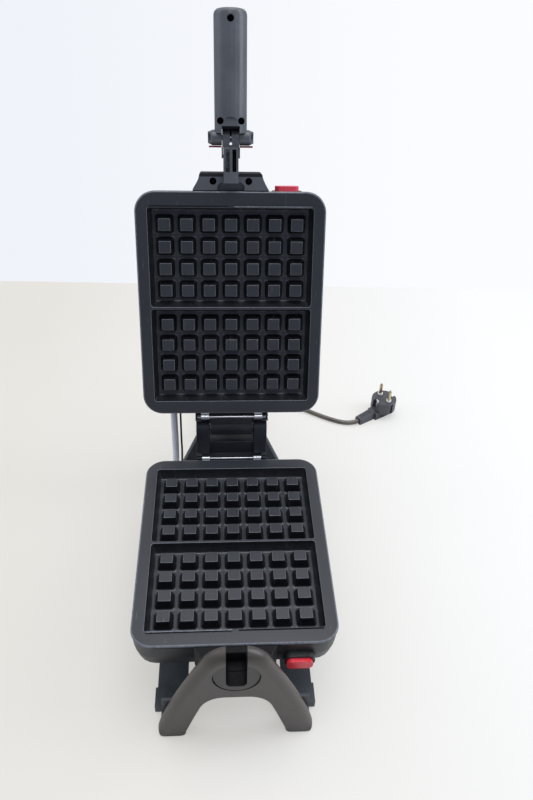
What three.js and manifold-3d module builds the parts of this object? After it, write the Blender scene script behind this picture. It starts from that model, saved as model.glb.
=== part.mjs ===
// A rotating waffle maker on its stand, open as it is when batter goes in.
// Millimetres, +X right, +Y back, +Z up. The origin is the middle of the footprint on the table.
// The cooking unit turns about an axis along Y, and its parting plane holds that axis.
import * as THREE from "three";
import { mergeVertices } from "three/addons/utils/BufferGeometryUtils.js";
import Module from "manifold-3d";

const wasm = await Module();
wasm.setup();

// Clearances shared by all pieces
const seat = 0.3; // gap between pieces that rest on each other
const run = 0.3; // radial gap of what turns or slides
const overrun = 3; // how far a cut runs past the surface that it opens
const bite = 0.5; // how far joined shapes of one piece reach into each other
const weld = 0.0001; // vertices nearer than this are one
const roundSides = 24;
const smallSides = 12;
const elementSteps = 36;
const elementSides = 6;
const wireSteps = 20;
const outlineSteps = 8;
const cornerSteps = 5;

// Cooking plate, the same part in both halves
const studPitch = 22.5;
const studColumns = 7;
const studRows = 4; // in each of the two blocks
const blockGap = 36.5; // between the stud rows on either side of the divider
const studTop = 13;
const studBase = 18.8;
const studHeight = 9.7;
const studSink = 2; // stud tops under the rim
const channelSide = 3.1; // floor between the outer studs and the wall
const channelEnd = 5;
const wallDraft = 4.2;
const rimSide = 12.5;
const rimEnd = 14.8;
const rimCorner = 21;
const rimThickness = 4;
const rimBevel = 1.4;
const plateSkin = 3;
const dividerTop = 2.4;
const tongueHeight = 1;
const tongueWidth = 1.8;
const tongueOff = 1.2; // from the cavity's edge
const tongueNotch = 3;
const grooveDepth = 1.8;
const lugSpacing = 59.4;
const lugWidth = 8;
const lugWall = 1.8;
const catchWidth = 12;
const catchThickness = 2.4;
const catchDepth = 9;
const partingGap = 0.4; // between the two rims when the lid is closed

const floorHalfWidth = ((studColumns - 1) * studPitch + studBase) / 2 + channelSide;
const floorHalfDepth = blockGap / 2 + (studRows - 1) * studPitch + studBase / 2 + channelEnd;
const cavityHalfWidth = floorHalfWidth + wallDraft;
const cavityHalfDepth = floorHalfDepth + wallDraft;
const plateHalfWidth = cavityHalfWidth + rimSide;
const plateHalfDepth = cavityHalfDepth + rimEnd;
const cavityDepth = studSink + studHeight;
const panDepth = cavityDepth + plateSkin;

// Rod that holds a plate's rear lugs
const rodRadius = 1.5;
const rodBehind = 5.6; // behind the plate's edge
const rodDrop = 3.6; // under the parting plane
const rodEndInset = 2.4;
const rodY = plateHalfDepth + rodBehind;

// Shell of each half
const shellDepth = 53;
const shellTuck = 34; // how far its bottom edge lies inside the rim
const shellEdge = 0.8; // how far its top edge lies inside the rim
const shellWall = 3;
const shellDepthShares = [0, 0.32, 0.6, 0.8, 0.93, 1];
const shellTuckShares = [0, 0.02, 0.1, 0.28, 0.56, 1];
const padProud = 2.2; // flat pads for the hinge and bracket, past the plate's edge
const padTop = 7; // under the parting plane
const padBottom = 45;
const rearPadWidth = 90;
const frontPadWidth = 76;
const frontPadProud = 0.35;
const portWidth = 19;
const portTop = 21;
const portBottom = 35;
const portProud = 0.8;
const shellTop = rimThickness + seat;
const padY = plateHalfDepth + padProud;
const frontPadY = -(plateHalfDepth + frontPadProud);
const portY = plateHalfDepth + portProud;

// Release button in the front wall
const lowerButtonX = 59;
const upperButtonX = 57.7;
const buttonWidth = 24.5;
const buttonHeight = 11;
const buttonCorner = 5;
const buttonDrop = 23.5; // of its centre under the parting plane
const lowerButtonProud = 8.4; // past the plate's edge
const upperButtonProud = 3.6;
const buttonFlange = 2.2;
const buttonFlangeThickness = 1.5;
const buttonTravel = 4;
const bezelWidth = 3.2;
const bezelProud = -1.2;

// Heating element and its reflector
const elementRadius = 3.25;
const elementHalfWidth = 52;
const elementHalfDepth = 74;
const elementBend = 20;
const terminalSpacing = 34;
const terminalDrop = 12;
const elementZ = -(panDepth + seat + bite + elementRadius);
const reflectorWall = 1.2;
const reflectorHeight = 12;
const reflectorMargin = 14; // between the shell's wall and the reflector
const reflectorCorner = 14;
const reflectorTop = -(panDepth + seat);
const reflectorBottom = reflectorTop - reflectorHeight - 2 * elementRadius;
const thermostatRadius = 9;
const thermostatHeight = 5.5;

// Hinge behind the plates
const hingeBehind = 26.8; // behind the plate's edge
const hingeRise = 27.4; // over the parting plane
const openAngle = 109.2; // degrees
const hingeY = plateHalfDepth + hingeBehind;
const pinRadius = 3;
const knuckleRadius = 9.5;
const knuckleHalfWidth = 24;
const armInner = 25.9;
const armOuter = 40.4;
const armRadius = 10;
const armFrontBehind = 10.8;
const forkRearBehind = 38.8;
const crossbarBehind = 17.8;
const crossbarRise = 11;
const cheekInner = 34.3;
const cheekBehind = 11.6;
const cheekDepth = 8;
const upperCheekBehind = 9.2;
const knuckleArmHalf = 7;
const flangeHalfWidth = 38;
const flangeThickness = 3.2;
const flangeTop = 44;
const leadBoreRadius = 6;
const crossbarWall = 2.5;
const knuckleHoleRadius = 1.4;
const knuckleHoleDepth = 3;
const knuckleHoleBehind = 6.3; // the plate's rod
const armFront = plateHalfDepth + armFrontBehind;
const forkRear = plateHalfDepth + forkRearBehind;
const crossbarFront = plateHalfDepth + crossbarBehind;

// Axle at the rear and its bearing in the tower
const axleRadius = 12;
const axleBore = 8;
const axleFlangeRadius = 20;
const axleFlangeThickness = 3;
const axleLength = 39;
const bushWall = 3.6;
const bushLength = 13;
const bushFlangeRadius = 19;
const bushFlangeThickness = 1.5;
const clipGroove = 1.5;
const clipThickness = 1.7;
const clipOuter = 16.6;

// Stand
const axisHeight = 103.5;
const footHeight = 2.5;
const footRadius = 9;
const deckThickness = 10;
const railInner = 47;
const railOuter = 76.4;
const railFrontCut = 10; // from the nose's tip to the pad
const padWider = 2;
const padLength = 20;
const noseInner = 52;
const noseOuter = 71.5;
const tabThickness = 3;
const tabHeight = 30;
const tabHalfWidth = 8;
const towerBehind = 50.8; // its front face behind the plate's edge
const towerDepth = 35;
const coverDepth = 12;
const towerHead = 34.5;
const towerFoot = 75.5;
const towerStraight = 4; // before its sides draw in
const towerTaperShare = 0.3;
const towerEdge = 2;
const towerWall = 3;
const coverWall = 3;
const coverScrewSpread = 43;
const coverScrewRise = 32;
const coverScrewRadius = 2;
const coverScrewHead = 3.8;
const coverScrewHeadHeight = 2;
const bossRadius = 5;
const deckMargin = 2;
const deckTop = footHeight + deckThickness;
const towerFront = plateHalfDepth + towerBehind;
const towerRear = towerFront + towerDepth;
const towerSplit = towerRear - coverDepth;
const forkHoldZ = -padTop;
const terminalWidth = 40;
const terminalDepth = 16;
const terminalHeight = 18;
const terminalRise = 26;

// Front arch
const archBehind = 19; // its rear face in front of the plate's edge
const archThickness = 13.5;
const archHead = 34;
const archHeadAngle = 25; // degrees over the horizontal where the leg leaves the head
const archFootOuter = 74;
const archFootInner = 47.3;
const archKneeX = 66.2;
const archKneeDrop = 59;
const archCrown = 35; // under the axis
const archCrownHalf = 10;
const archInnerX = 33.8;
const archInnerDrop = 56;
const archHaunchX = 27;
const archEdge = 5;
const archToe = 7;
const recessRadius = 23;
const recessDepth = 2;
const archBack = -(plateHalfDepth + archBehind);
const archFront = archBack - archThickness;

// Journal and brackets at the front
const journalRadius = 21.2;
const journalProud = 1;
const troughHalfWidth = 9.3;
const troughDepth = 15;
const troughCorner = 5;
const bracketGap = 2.1; // between the brackets and the arch
const bracketDepth = 30;
const bracketBackHalf = 38.3;
const bracketFrontHalf = 31.5;
const bracketWaist = 2.5;
const bracketTop = 0.3;
const cutoutDepth = 7.6;
const recessHalfWidth = 13.4;
const recessChamfer = 3;
const bracketScrewX = 17.7;
const bracketScrewY = 9.5; // in front of the plate's edge
const screwRadius = 1.7;
const screwHead = 3.2;
const screwLength = 14;
const archScrewLength = 11;
const screwRecess = 1.6;
const screwHeadHeight = 2;
const bracketFront = archBack + bracketGap;

// Handle
const stemHalfWidth = 7.35;
const stemHalfHeight = 9.9;
const stemRib = 2.1;
const stemCore = 1.4;
const grooveCut = 6;
const grooveEnd = 2;
const pivotAhead = 50.15; // in front of the plate's edge
const pivotRadius = 2.5;
const barrelRadius = 7.2;
const barrelHalf = 22.2;
const barrelTaper = 4.2;
const barrelEnd = 5.2;
const barrelSlant = 4.4;
const barrelSlantTop = 1.5; // behind the pivot's middle
const pinRecessRadius = 4;
const pinRecessDepth = 5;
const handleGap = 8.6; // half of the slot between the ears
const slotReach = 10.6;
const slotWebStart = 7.4; // from the pivot
const slotWebLow = 3.5;
const slotWebHigh = 7.6;
const hingeBlockRadius = 7;
const hingeBlockReach = 8.6;
const slitHalf = 0.8;
const slitReach = 2.4;
const lightHoleRadius = 1.4;
const lightHoleY = 5.6;
const gripStart = 4.3;
const gripLength = 107;
const gripRadius = 15.6;
const gripRound = 5;
const gripWall = 3.2;
const gripHollowFrom = 26;
const gripHollowEnd = 15.3; // from the grip's end
const gripScrewEnd = 9.3; // from the grip's end
const gripScrewLow = 15.2;
const gripScrewX = 10;
const gripScrewHole = 3.3;
const gripScrewHead = 2.8;
const gripScrewSink = 3;
const gripScrewLowSink = 8.5;
const gripScrewLength = 13;
const gripPadHalf = 6.3;
const gripPadEnd = 16.4; // from the pivot
const gripPadBow = 5;
const gripPadDepth = 1.4;
const pivotY = -(plateHalfDepth + pivotAhead);
const releaseGap = 0.3;
const releaseThickness = 1.5;
const releaseHalf = 21.2;
const releaseFront = 5;
const releaseBack = 3.5;
const releaseLeg = 1.3;
const releaseBridge = 11.5;
const releaseBridgeThickness = 2.6;
const releaseBridgeWidth = 3;

// Metal conduit and earth wire between the lower shell and the lid
const conduitX = -65.8;
const conduitRadius = 4;
const conduitBore = 2.6;
const conduitRib = 0.5;
const conduitRibs = 44;
const ribSides = 8;
const boreEvery = 5;
const wireX = -58.4;
const wireRadius = 1.15;
const portZ = 28;
const conduitBow = 24;
const conduitBowLow = 17;

// Mains cord
const cordRadius = 3.25;
const cordSides = 8;
const coilGap = 0.8;
const coilTurns = 4.25;
const coilInner = 28.4;
const coilBehind = 186; // its centre behind the plate's edge
const coilX = 2;
const loopSteps = 24;
const loopSides = 6;
const reliefLength = 34;
const reliefBase = 6.5;
const reliefTip = 4.4;
const reliefHeight = 9.5; // of its centre over the deck
const reliefCollar = 8.5;
const reliefCollarThickness = 2.5;
const plugX = 224;
const plugYBehind = 199;
const plugHeading = 210.3; // degrees, the way the cord leaves the plug
const plugRadius = 17.8;
const plugHeight = 28;
const plugRim = 2.4;
const plugHeadLow = 8; // of the round head's underside over the table
const backHalf = 9.2; // of the flat back that the plug lies on
const backBehind = 12;
const backAhead = 20;
const backHeight = 12;
const backBevel = 2;
const bootEnd = 45.8; // from the plug's middle
const bootHalf = 5.8;
const bootHeight = 14;
const bootEndHeight = 10;
const bootBevel = 2;
const bootTip = 4.6; // of the flex over the table where it leaves the boot
const plugPinSpacing = 19;
const plugPinRadius = 2.4;
const plugPinLength = 19;
const sleeveRadius = 3.7;
const sleeveHeight = 2.4;
const clipWidth = 6;
const clipDepth = 1.6;
const clipHeight = 13;
const clipRadius = 12.6; // of a clip's outer face from the plug's middle
const clipNotchWidth = 9;
const guideWidth = 4;
const guideDepth = 2.6;
const guideLow = 11;

// Colours
const plateCoat = new THREE.Color("#3c4249");
const shellBlack = new THREE.Color("#1f2124");
const archGrey = new THREE.Color("#5c5a57");
const gripGrey = new THREE.Color("#55575a");
const bracketBlack = new THREE.Color("#26292b");
const brightSteel = new THREE.Color("#b9bcc0");
const buttonRed = new THREE.Color("#c8202c");
const rubberBlack = new THREE.Color("#161616");
const brass = new THREE.Color("#b59a55");
const sleeveWhite = new THREE.Color("#ecebe6");
const aluminium = new THREE.Color("#c9cbcd");
const heaterGrey = new THREE.Color("#5b5b58");
const ceramic = new THREE.Color("#d9d5c8");

// Solids and the shapes that they are made from

function solid(geometry) {
  const bare = new THREE.BufferGeometry().setAttribute("position", geometry.getAttribute("position").clone());
  if (geometry.index) bare.setIndex(geometry.index.clone());
  const merged = mergeVertices(bare, weld);
  const corners = [];
  const index = merged.index.array;
  for (let i = 0; i < index.length; i += 3) {
    const [a, b, c] = [index[i], index[i + 1], index[i + 2]];
    if (a !== b && b !== c && c !== a) corners.push(a, b, c);
  }
  const vertProperties = merged.getAttribute("position").array;
  return new wasm.Manifold(new wasm.Mesh({ numProp: 3, vertProperties, triVerts: new Uint32Array(corners) }));
}

function geometryOf(made) {
  const mesh = made.getMesh();
  const geometry = new THREE.BufferGeometry();
  geometry.setAttribute("position", new THREE.BufferAttribute(new Float32Array(mesh.vertProperties), 3));
  geometry.setIndex(new THREE.BufferAttribute(new Uint32Array(mesh.triVerts), 1));
  geometry.computeVertexNormals();
  return geometry;
}

function join(...solids) {
  return solids.reduce((whole, next) => whole.add(next));
}

function cut(whole, ...tools) {
  return tools.reduce((left, tool) => left.subtract(tool), whole);
}

function block(x0, x1, y0, y1, z0, z1) {
  const geometry = new THREE.BoxGeometry(x1 - x0, y1 - y0, z1 - z0);
  return solid(geometry.translate((x0 + x1) / 2, (y0 + y1) / 2, (z0 + z1) / 2));
}

// A bar along an axis; u and v are its place on the other two axes, in X, Y, Z order.
function bar(axis, radius, from, to, u, v, sides = roundSides, endRadius = radius) {
  const geometry = new THREE.CylinderGeometry(endRadius, radius, to - from, sides);
  geometry.translate(0, (from + to) / 2, 0);
  if (axis === "x") geometry.rotateZ(-Math.PI / 2).translate(0, u, v);
  if (axis === "y") geometry.translate(u, 0, v);
  if (axis === "z") geometry.rotateX(Math.PI / 2).translate(u, v, 0);
  return solid(geometry);
}

const unitX = new THREE.Vector3(1, 0, 0);
const unitY = new THREE.Vector3(0, 1, 0);
const unitZ = new THREE.Vector3(0, 0, 1);
const sideways = new THREE.Matrix4().makeBasis(unitY, unitZ, unitX);
const upright = new THREE.Matrix4().makeBasis(unitX, unitZ, unitY.clone().negate());

// A flat outline pushed along an axis: drawn in YZ for x, in XZ for y, in XY for z.
function slab(axis, shape, from, to, options = {}) {
  const geometry = new THREE.ExtrudeGeometry(shape, {
    depth: to - from,
    bevelEnabled: false,
    curveSegments: cornerSteps,
    ...options,
  });
  if (axis === "x") geometry.applyMatrix4(sideways).translate(from, 0, 0);
  if (axis === "y") geometry.applyMatrix4(upright).translate(0, to, 0);
  if (axis === "z") geometry.translate(0, 0, from);
  return solid(geometry);
}

function roundedRect(halfWidth, halfHeight, corner, x = 0, y = 0) {
  const [w, h, r] = [halfWidth, halfHeight, corner];
  const shape = new THREE.Shape();
  shape.moveTo(x + w, y - h + r);
  shape.lineTo(x + w, y + h - r);
  shape.absarc(x + w - r, y + h - r, r, 0, Math.PI / 2);
  shape.lineTo(x - w + r, y + h);
  shape.absarc(x - w + r, y + h - r, r, Math.PI / 2, Math.PI);
  shape.lineTo(x - w, y - h + r);
  shape.absarc(x - w + r, y - h + r, r, Math.PI, 1.5 * Math.PI);
  shape.lineTo(x + w - r, y - h);
  shape.absarc(x + w - r, y - h + r, r, 1.5 * Math.PI, 2 * Math.PI);
  return shape;
}

// Joins rings of points into one closed skin. All rings turn the same way round.
function loft(rings) {
  const sides = rings[0].length;
  const positions = rings.flat(2);
  const index = [];
  for (let k = 0; k + 1 < rings.length; k++) {
    for (let i = 0; i < sides; i++) {
      const [a, b] = [k * sides + i, k * sides + ((i + 1) % sides)];
      index.push(a, b, b + sides, a, b + sides, a + sides);
    }
  }
  const last = (rings.length - 1) * sides;
  for (let i = 1; i + 1 < sides; i++) {
    index.push(0, i + 1, i);
    index.push(last, last + i, last + i + 1);
  }
  const geometry = new THREE.BufferGeometry();
  geometry.setAttribute("position", new THREE.Float32BufferAttribute(positions, 3));
  geometry.setIndex(index);
  return solid(geometry);
}

function rectRing(x0, x1, y0, y1, z) {
  return [[x0, y0, z], [x1, y0, z], [x1, y1, z], [x0, y1, z]];
}

function roundedRing(halfWidth, halfDepth, corner, z) {
  const ring = [];
  const centres = [[1, 1], [-1, 1], [-1, -1], [1, -1]];
  centres.forEach(([sx, sy], quarter) => {
    for (let i = 0; i <= cornerSteps; i++) {
      const angle = ((quarter + i / cornerSteps) * Math.PI) / 2;
      const x = sx * (halfWidth - corner) + corner * Math.cos(angle);
      const y = sy * (halfDepth - corner) + corner * Math.sin(angle);
      ring.push([x, y, z]);
    }
  });
  return ring;
}

// A ring of points square to a path; reference keeps the rings from twisting.
function ringAround(point, tangent, reference, radius, sides) {
  const u = reference.clone().cross(tangent).normalize();
  const v = tangent.clone().cross(u).normalize();
  return Array.from({ length: sides }, (_, i) => {
    const angle = (2 * Math.PI * i) / sides;
    const p = point.clone();
    p.addScaledVector(u, radius * Math.cos(angle)).addScaledVector(v, radius * Math.sin(angle));
    return p.toArray();
  });
}

function tube(curve, radius, sides, steps) {
  const section = new THREE.Shape();
  for (let i = 0; i < sides; i++) {
    const angle = (2 * Math.PI * i) / sides;
    const [x, y] = [radius * Math.cos(angle), radius * Math.sin(angle)];
    if (i) section.lineTo(x, y);
    else section.moveTo(x, y);
  }
  return solid(new THREE.ExtrudeGeometry(section, { steps, extrudePath: curve, bevelEnabled: false }));
}

function curveThrough(points) {
  return new THREE.CatmullRomCurve3(points.map((p) => new THREE.Vector3(...p)), false, "centripetal");
}

function degrees(angle) {
  return (angle * Math.PI) / 180;
}

// Named meshes and the groups that carry them
function mesh(name, made, color, roughness, metalness = 0) {
  const material = new THREE.MeshStandardMaterial({ color, roughness, metalness, flatShading: true });
  const piece = new THREE.Mesh(geometryOf(made), material);
  piece.name = name;
  return piece;
}

const machine = new THREE.Group();
const stand = new THREE.Group();
const rotor = new THREE.Group();
const lidTurn = new THREE.Group();
const lid = new THREE.Group();
const cord = new THREE.Group();
rotor.position.z = axisHeight;
lidTurn.position.set(0, hingeY, hingeRise);
lidTurn.rotation.x = -degrees(openAngle);
lid.position.set(0, -hingeY, -hingeRise);
lidTurn.add(lid);
rotor.add(lidTurn);
machine.add(stand, rotor, cord);

// Upper pieces are made as lower ones and turned over about the spin axis.
function turnedOver(piece) {
  piece.rotation.y = Math.PI;
  piece.position.z = partingGap;
  return piece;
}

// Cooking plate: cast aluminium pan with drafted walls, a divider and square studs
function cookingPlate() {
  const rim = loft(
    [[-rimThickness, rimBevel], [rimBevel - rimThickness, 0], [-rimBevel, 0], [0, rimBevel]].map(([z, inset]) =>
      roundedRing(plateHalfWidth - inset, plateHalfDepth - inset, rimCorner - inset, z),
    ),
  );
  const pan = loft([
    roundedRing(floorHalfWidth + plateSkin, floorHalfDepth + plateSkin, plateSkin, -panDepth),
    roundedRing(cavityHalfWidth + plateSkin, cavityHalfDepth + plateSkin, plateSkin, bite - rimThickness),
  ]);
  let plate = join(rim, pan);
  const inner = dividerTop / 2;
  for (const side of [-1, 1]) {
    const near = Math.min(side * inner, side * cavityHalfDepth);
    const far = Math.max(side * inner, side * cavityHalfDepth);
    plate = plate.subtract(
      loft([
        rectRing(-floorHalfWidth, floorHalfWidth, near + wallDraft, far - wallDraft, -cavityDepth),
        rectRing(-cavityHalfWidth, cavityHalfWidth, near, far, 0),
        rectRing(-cavityHalfWidth, cavityHalfWidth, near, far, overrun),
      ]),
    );
  }
  const [b, t] = [studBase / 2, studTop / 2];
  for (let column = 0; column < studColumns; column++) {
    const x = (column - (studColumns - 1) / 2) * studPitch;
    for (let row = 0; row < 2 * studRows; row++) {
      const step = row < studRows ? row - studRows + 1 : row - studRows;
      const y = (row < studRows ? -blockGap : blockGap) / 2 + step * studPitch;
      plate = plate.add(
        loft([
          rectRing(x - b, x + b, y - b, y + b, -cavityDepth - bite),
          rectRing(x - b, x + b, y - b, y + b, -cavityDepth),
          rectRing(x - t, x + t, y - t, y + t, -studSink),
        ]),
      );
    }
  }
  const tongueY = -(cavityHalfDepth + tongueOff);
  const tongueFar = cavityHalfWidth - tongueWidth;
  plate = plate.add(
    block(-tongueFar, -tongueNotch, tongueY - tongueWidth, tongueY, -bite, tongueHeight),
  );
  plate = plate.subtract(
    block(tongueNotch - bite, tongueFar + bite, tongueY - tongueWidth - bite, tongueY + bite, -grooveDepth, overrun),
  );
  for (const side of [-1, 1]) {
    const x = (side * lugSpacing) / 2;
    const end = rodY + rodRadius + run + lugWall;
    const bottom = -(rodDrop + rodRadius + bite);
    const [left, right] = [x - lugWidth / 2, x + lugWidth / 2];
    const lug = join(
      block(left, right, plateHalfDepth - 2 * rimBevel, end, rimBevel - rimThickness, -seat),
      block(left, right, plateHalfDepth + seat, end, bottom, -seat),
    );
    const rodWay = join(
      bar("x", rodRadius + run, x - lugWidth, x + lugWidth, rodY, -rodDrop, smallSides),
      block(x - lugWidth, x + lugWidth, rodY - rodRadius - run, rodY + rodRadius + run, bottom - overrun, -rodDrop),
    );
    plate = join(plate, lug).subtract(rodWay);
  }
  const catchY = -(cavityHalfDepth + plateSkin);
  return plate.add(
    block(
      lowerButtonX - catchWidth / 2,
      lowerButtonX + catchWidth / 2,
      catchY - catchThickness,
      catchY,
      -rimThickness - catchDepth,
      bite - rimThickness,
    ),
  );
}

// Shell: a bowl under the plate with flat pads for what is fixed to it
function shellRing(depthShare, tuckShare, wall) {
  const inset = shellEdge + tuckShare * (shellTuck - shellEdge) + wall;
  const z = -(shellTop + depthShare * (shellDepth - shellTop)) + (depthShare === 1 ? wall : 0);
  return roundedRing(plateHalfWidth - inset, plateHalfDepth - inset, Math.max(rimCorner - inset / 2, rimBevel), z);
}

function bowl(wall) {
  const rings = shellDepthShares.map((share, i) => shellRing(share, shellTuckShares[i], wall)).reverse();
  if (wall) {
    const top = rings[rings.length - 1].map(([x, y, z]) => [x, y, z + overrun]);
    rings.push(top);
  }
  return loft(rings);
}

function unitShell(buttonX) {
  const buttonShape = (grow) =>
    roundedRect(buttonWidth / 2 + grow, buttonHeight / 2 + grow, buttonCorner + grow, buttonX, -buttonDrop);
  const bezelFront = -(plateHalfDepth + bezelProud);
  const half = rearPadWidth / 2;
  const frontHalf = frontPadWidth / 2;
  const outer = join(
    bowl(0),
    block(-half, half, plateHalfDepth - rimCorner, padY, -padBottom, -padTop),
    block(-frontHalf, frontHalf, frontPadY, -(plateHalfDepth - rimCorner), -bracketDepth, -shellTop - bite),
    slab("y", buttonShape(bezelWidth), bezelFront, -(plateHalfDepth - rimCorner)),
    ...(buttonX > 0 ? [conduitX + portWidth / 2 - conduitRadius] : [-conduitX - portWidth / 2 + conduitRadius]).map(
      (x) => block(x - portWidth / 2, x + portWidth / 2, plateHalfDepth - rimCorner, portY, -portBottom, -portTop),
    ),
  );
  const buttonWay = slab("y", buttonShape(run), bezelFront - overrun, -(plateHalfDepth - rimCorner));
  return cut(outer, bowl(shellWall), buttonWay);
}

function reflector() {
  const [top, bottom] = [reflectorTop, reflectorBottom];
  const outer = (z, inset, wall) =>
    roundedRing(
      plateHalfWidth - shellWall - reflectorMargin - inset - wall,
      plateHalfDepth - shellWall - reflectorMargin - inset - wall,
      reflectorCorner - wall,
      z,
    );
  const tray = loft([outer(bottom, reflectorHeight, 0), outer(top, 0, 0)]);
  const hollow = loft([
    outer(bottom + reflectorWall, reflectorHeight, reflectorWall),
    outer(top, 0, reflectorWall),
    outer(top + overrun, 0, reflectorWall),
  ]);
  return tray.subtract(hollow);
}

// Tubular heater: one loop under the studs, both ends turned down at the back
function element() {
  const [w, d, r, z] = [elementHalfWidth, elementHalfDepth, elementBend, elementZ];
  const half = terminalSpacing / 2;
  const low = z - terminalDrop;
  const leg = (side) => [
    [side * half, d + r / 2, low],
    [side * half, d + r / 2, z - r / 4],
    [side * (half + r / 4), d, z],
  ];
  const corner = r / 2;
  const rightSide = [[w - corner, d, z], [w, d - corner, z], [w, corner - d, z], [w - corner, -d, z]];
  const leftSide = rightSide.map(([x, y, height]) => [-x, y, height]).reverse();
  const path = curveThrough([...leg(1), ...rightSide, ...leftSide, ...leg(-1).reverse()]);
  return tube(path, elementRadius, elementSides, elementSteps);
}

function thermostat() {
  const top = reflectorBottom - seat;
  return join(
    bar("z", thermostatRadius, top - thermostatHeight, top, 0, 0, smallSides),
    block(-lugWidth / 2, lugWidth / 2, 0, thermostatRadius + lugWidth / 2, top - lugWall, top),
  );
}

function plateRod() {
  const half = armOuter - rodEndInset;
  return bar("x", rodRadius, -half, half, rodY, -rodDrop, smallSides);
}

// The groove that a plate rod's end lies in
function rodGroove(outer) {
  const radius = rodRadius + run;
  return join(
    bar("x", radius, -outer, outer, rodY, -rodDrop, smallSides),
    block(-outer, outer, rodY - radius, rodY + radius, -rodDrop, overrun),
  );
}

function releaseButton(buttonX, proud) {
  const shape = (grow) =>
    roundedRect(buttonWidth / 2 + grow, buttonHeight / 2 + grow, buttonCorner + grow, buttonX, -buttonDrop);
  const lowest = buttonDrop + buttonHeight / 2 + buttonFlange;
  const wallInside = -(plateHalfDepth - shellInsetAt(lowest) - shellWall) + seat;
  const front = -(plateHalfDepth + proud);
  const cap = slab("y", shape(-rimBevel), front, wallInside + bite, {
    bevelEnabled: true,
    bevelThickness: rimBevel,
    bevelSize: rimBevel,
    bevelSegments: 2,
  });
  const body = block(
    -plateHalfWidth,
    plateHalfWidth,
    front,
    wallInside + bite,
    -shellDepth,
    0,
  ).intersect(cap);
  return join(body, slab("y", shape(buttonFlange), wallInside, wallInside + buttonFlangeThickness));
}

// How far the shell's wall lies inside the plate's edge at a depth under the parting plane
function shellInsetAt(depth) {
  const share = (depth - shellTop) / (shellDepth - shellTop);
  const k = shellDepthShares.findIndex((s) => s >= share);
  const t = (share - shellDepthShares[k - 1]) / (shellDepthShares[k] - shellDepthShares[k - 1]);
  const tuck = shellTuckShares[k - 1] + t * (shellTuckShares[k] - shellTuckShares[k - 1]);
  return shellEdge + tuck * (shellTuck - shellEdge);
}

// Fork on the lower half: a base block, two arms round the hinge pin, a crossbar and cheeks for the plate rod
function hingeFork() {
  const front = padY + seat;
  const armShape = new THREE.Shape();
  armShape.moveTo(armFront, -padBottom);
  armShape.lineTo(forkRear, -padBottom);
  armShape.lineTo(forkRear, hingeRise - armRadius);
  armShape.lineTo(hingeY + armRadius, hingeRise);
  armShape.absarc(hingeY, hingeRise, armRadius, 0, Math.PI);
  armShape.lineTo(armFront, rodDrop);
  const parts = [
    block(-armOuter, armOuter, front, forkRear, -padBottom, forkHoldZ),
    block(-armInner - bite, armInner + bite, crossbarFront, forkRear, forkHoldZ - bite, crossbarRise),
  ];
  for (const side of [-1, 1]) {
    const [x0, x1] = side < 0 ? [-armOuter, -armInner] : [armInner, armOuter];
    const [c0, c1] = side < 0 ? [-armOuter, -cheekInner] : [cheekInner, armOuter];
    parts.push(slab("x", armShape, x0, x1));
    parts.push(block(c0, c1, front, plateHalfDepth + cheekBehind, forkHoldZ - bite, -seat));
  }
  return cut(
    join(...parts),
    bar("x", pinRadius + run, -armOuter - overrun, armOuter + overrun, hingeY, hingeRise, smallSides),
    rodGroove(armOuter + overrun),
    bar("y", leadBoreRadius, crossbarFront + crossbarWall, forkRear + overrun, 0, 0, smallSides),
  );
}

function hingePin() {
  const half = armOuter - rodEndInset;
  return bar("x", pinRadius, -half, half, hingeY, hingeRise, smallSides);
}

function rearAxle() {
  const start = forkRear + seat;
  const grooveAt = clipStart();
  const axle = join(
    bar("y", axleFlangeRadius, start, start + axleFlangeThickness, 0, 0),
    bar("y", axleRadius, start, start + axleLength, 0, 0),
  );
  const groove = bar("y", axleRadius + overrun, grooveAt - run, grooveAt + clipThickness + run, 0, 0).subtract(
    bar("y", axleRadius - clipGroove, grooveAt - overrun, grooveAt + clipThickness + overrun, 0, 0),
  );
  return cut(axle, groove, bar("y", axleBore, start - overrun, start + axleLength + overrun, 0, 0));
}

function clipStart() {
  return towerFront + bushLength + seat;
}

function axleClip() {
  const [from, to] = [clipStart(), clipStart() + clipThickness];
  const inner = axleRadius - clipGroove + run;
  return cut(
    bar("y", clipOuter, from, to, 0, 0),
    bar("y", inner, from - overrun, to + overrun, 0, 0),
    block(-inner / 2, inner / 2, from - overrun, to + overrun, 0, clipOuter + overrun),
  );
}

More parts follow.
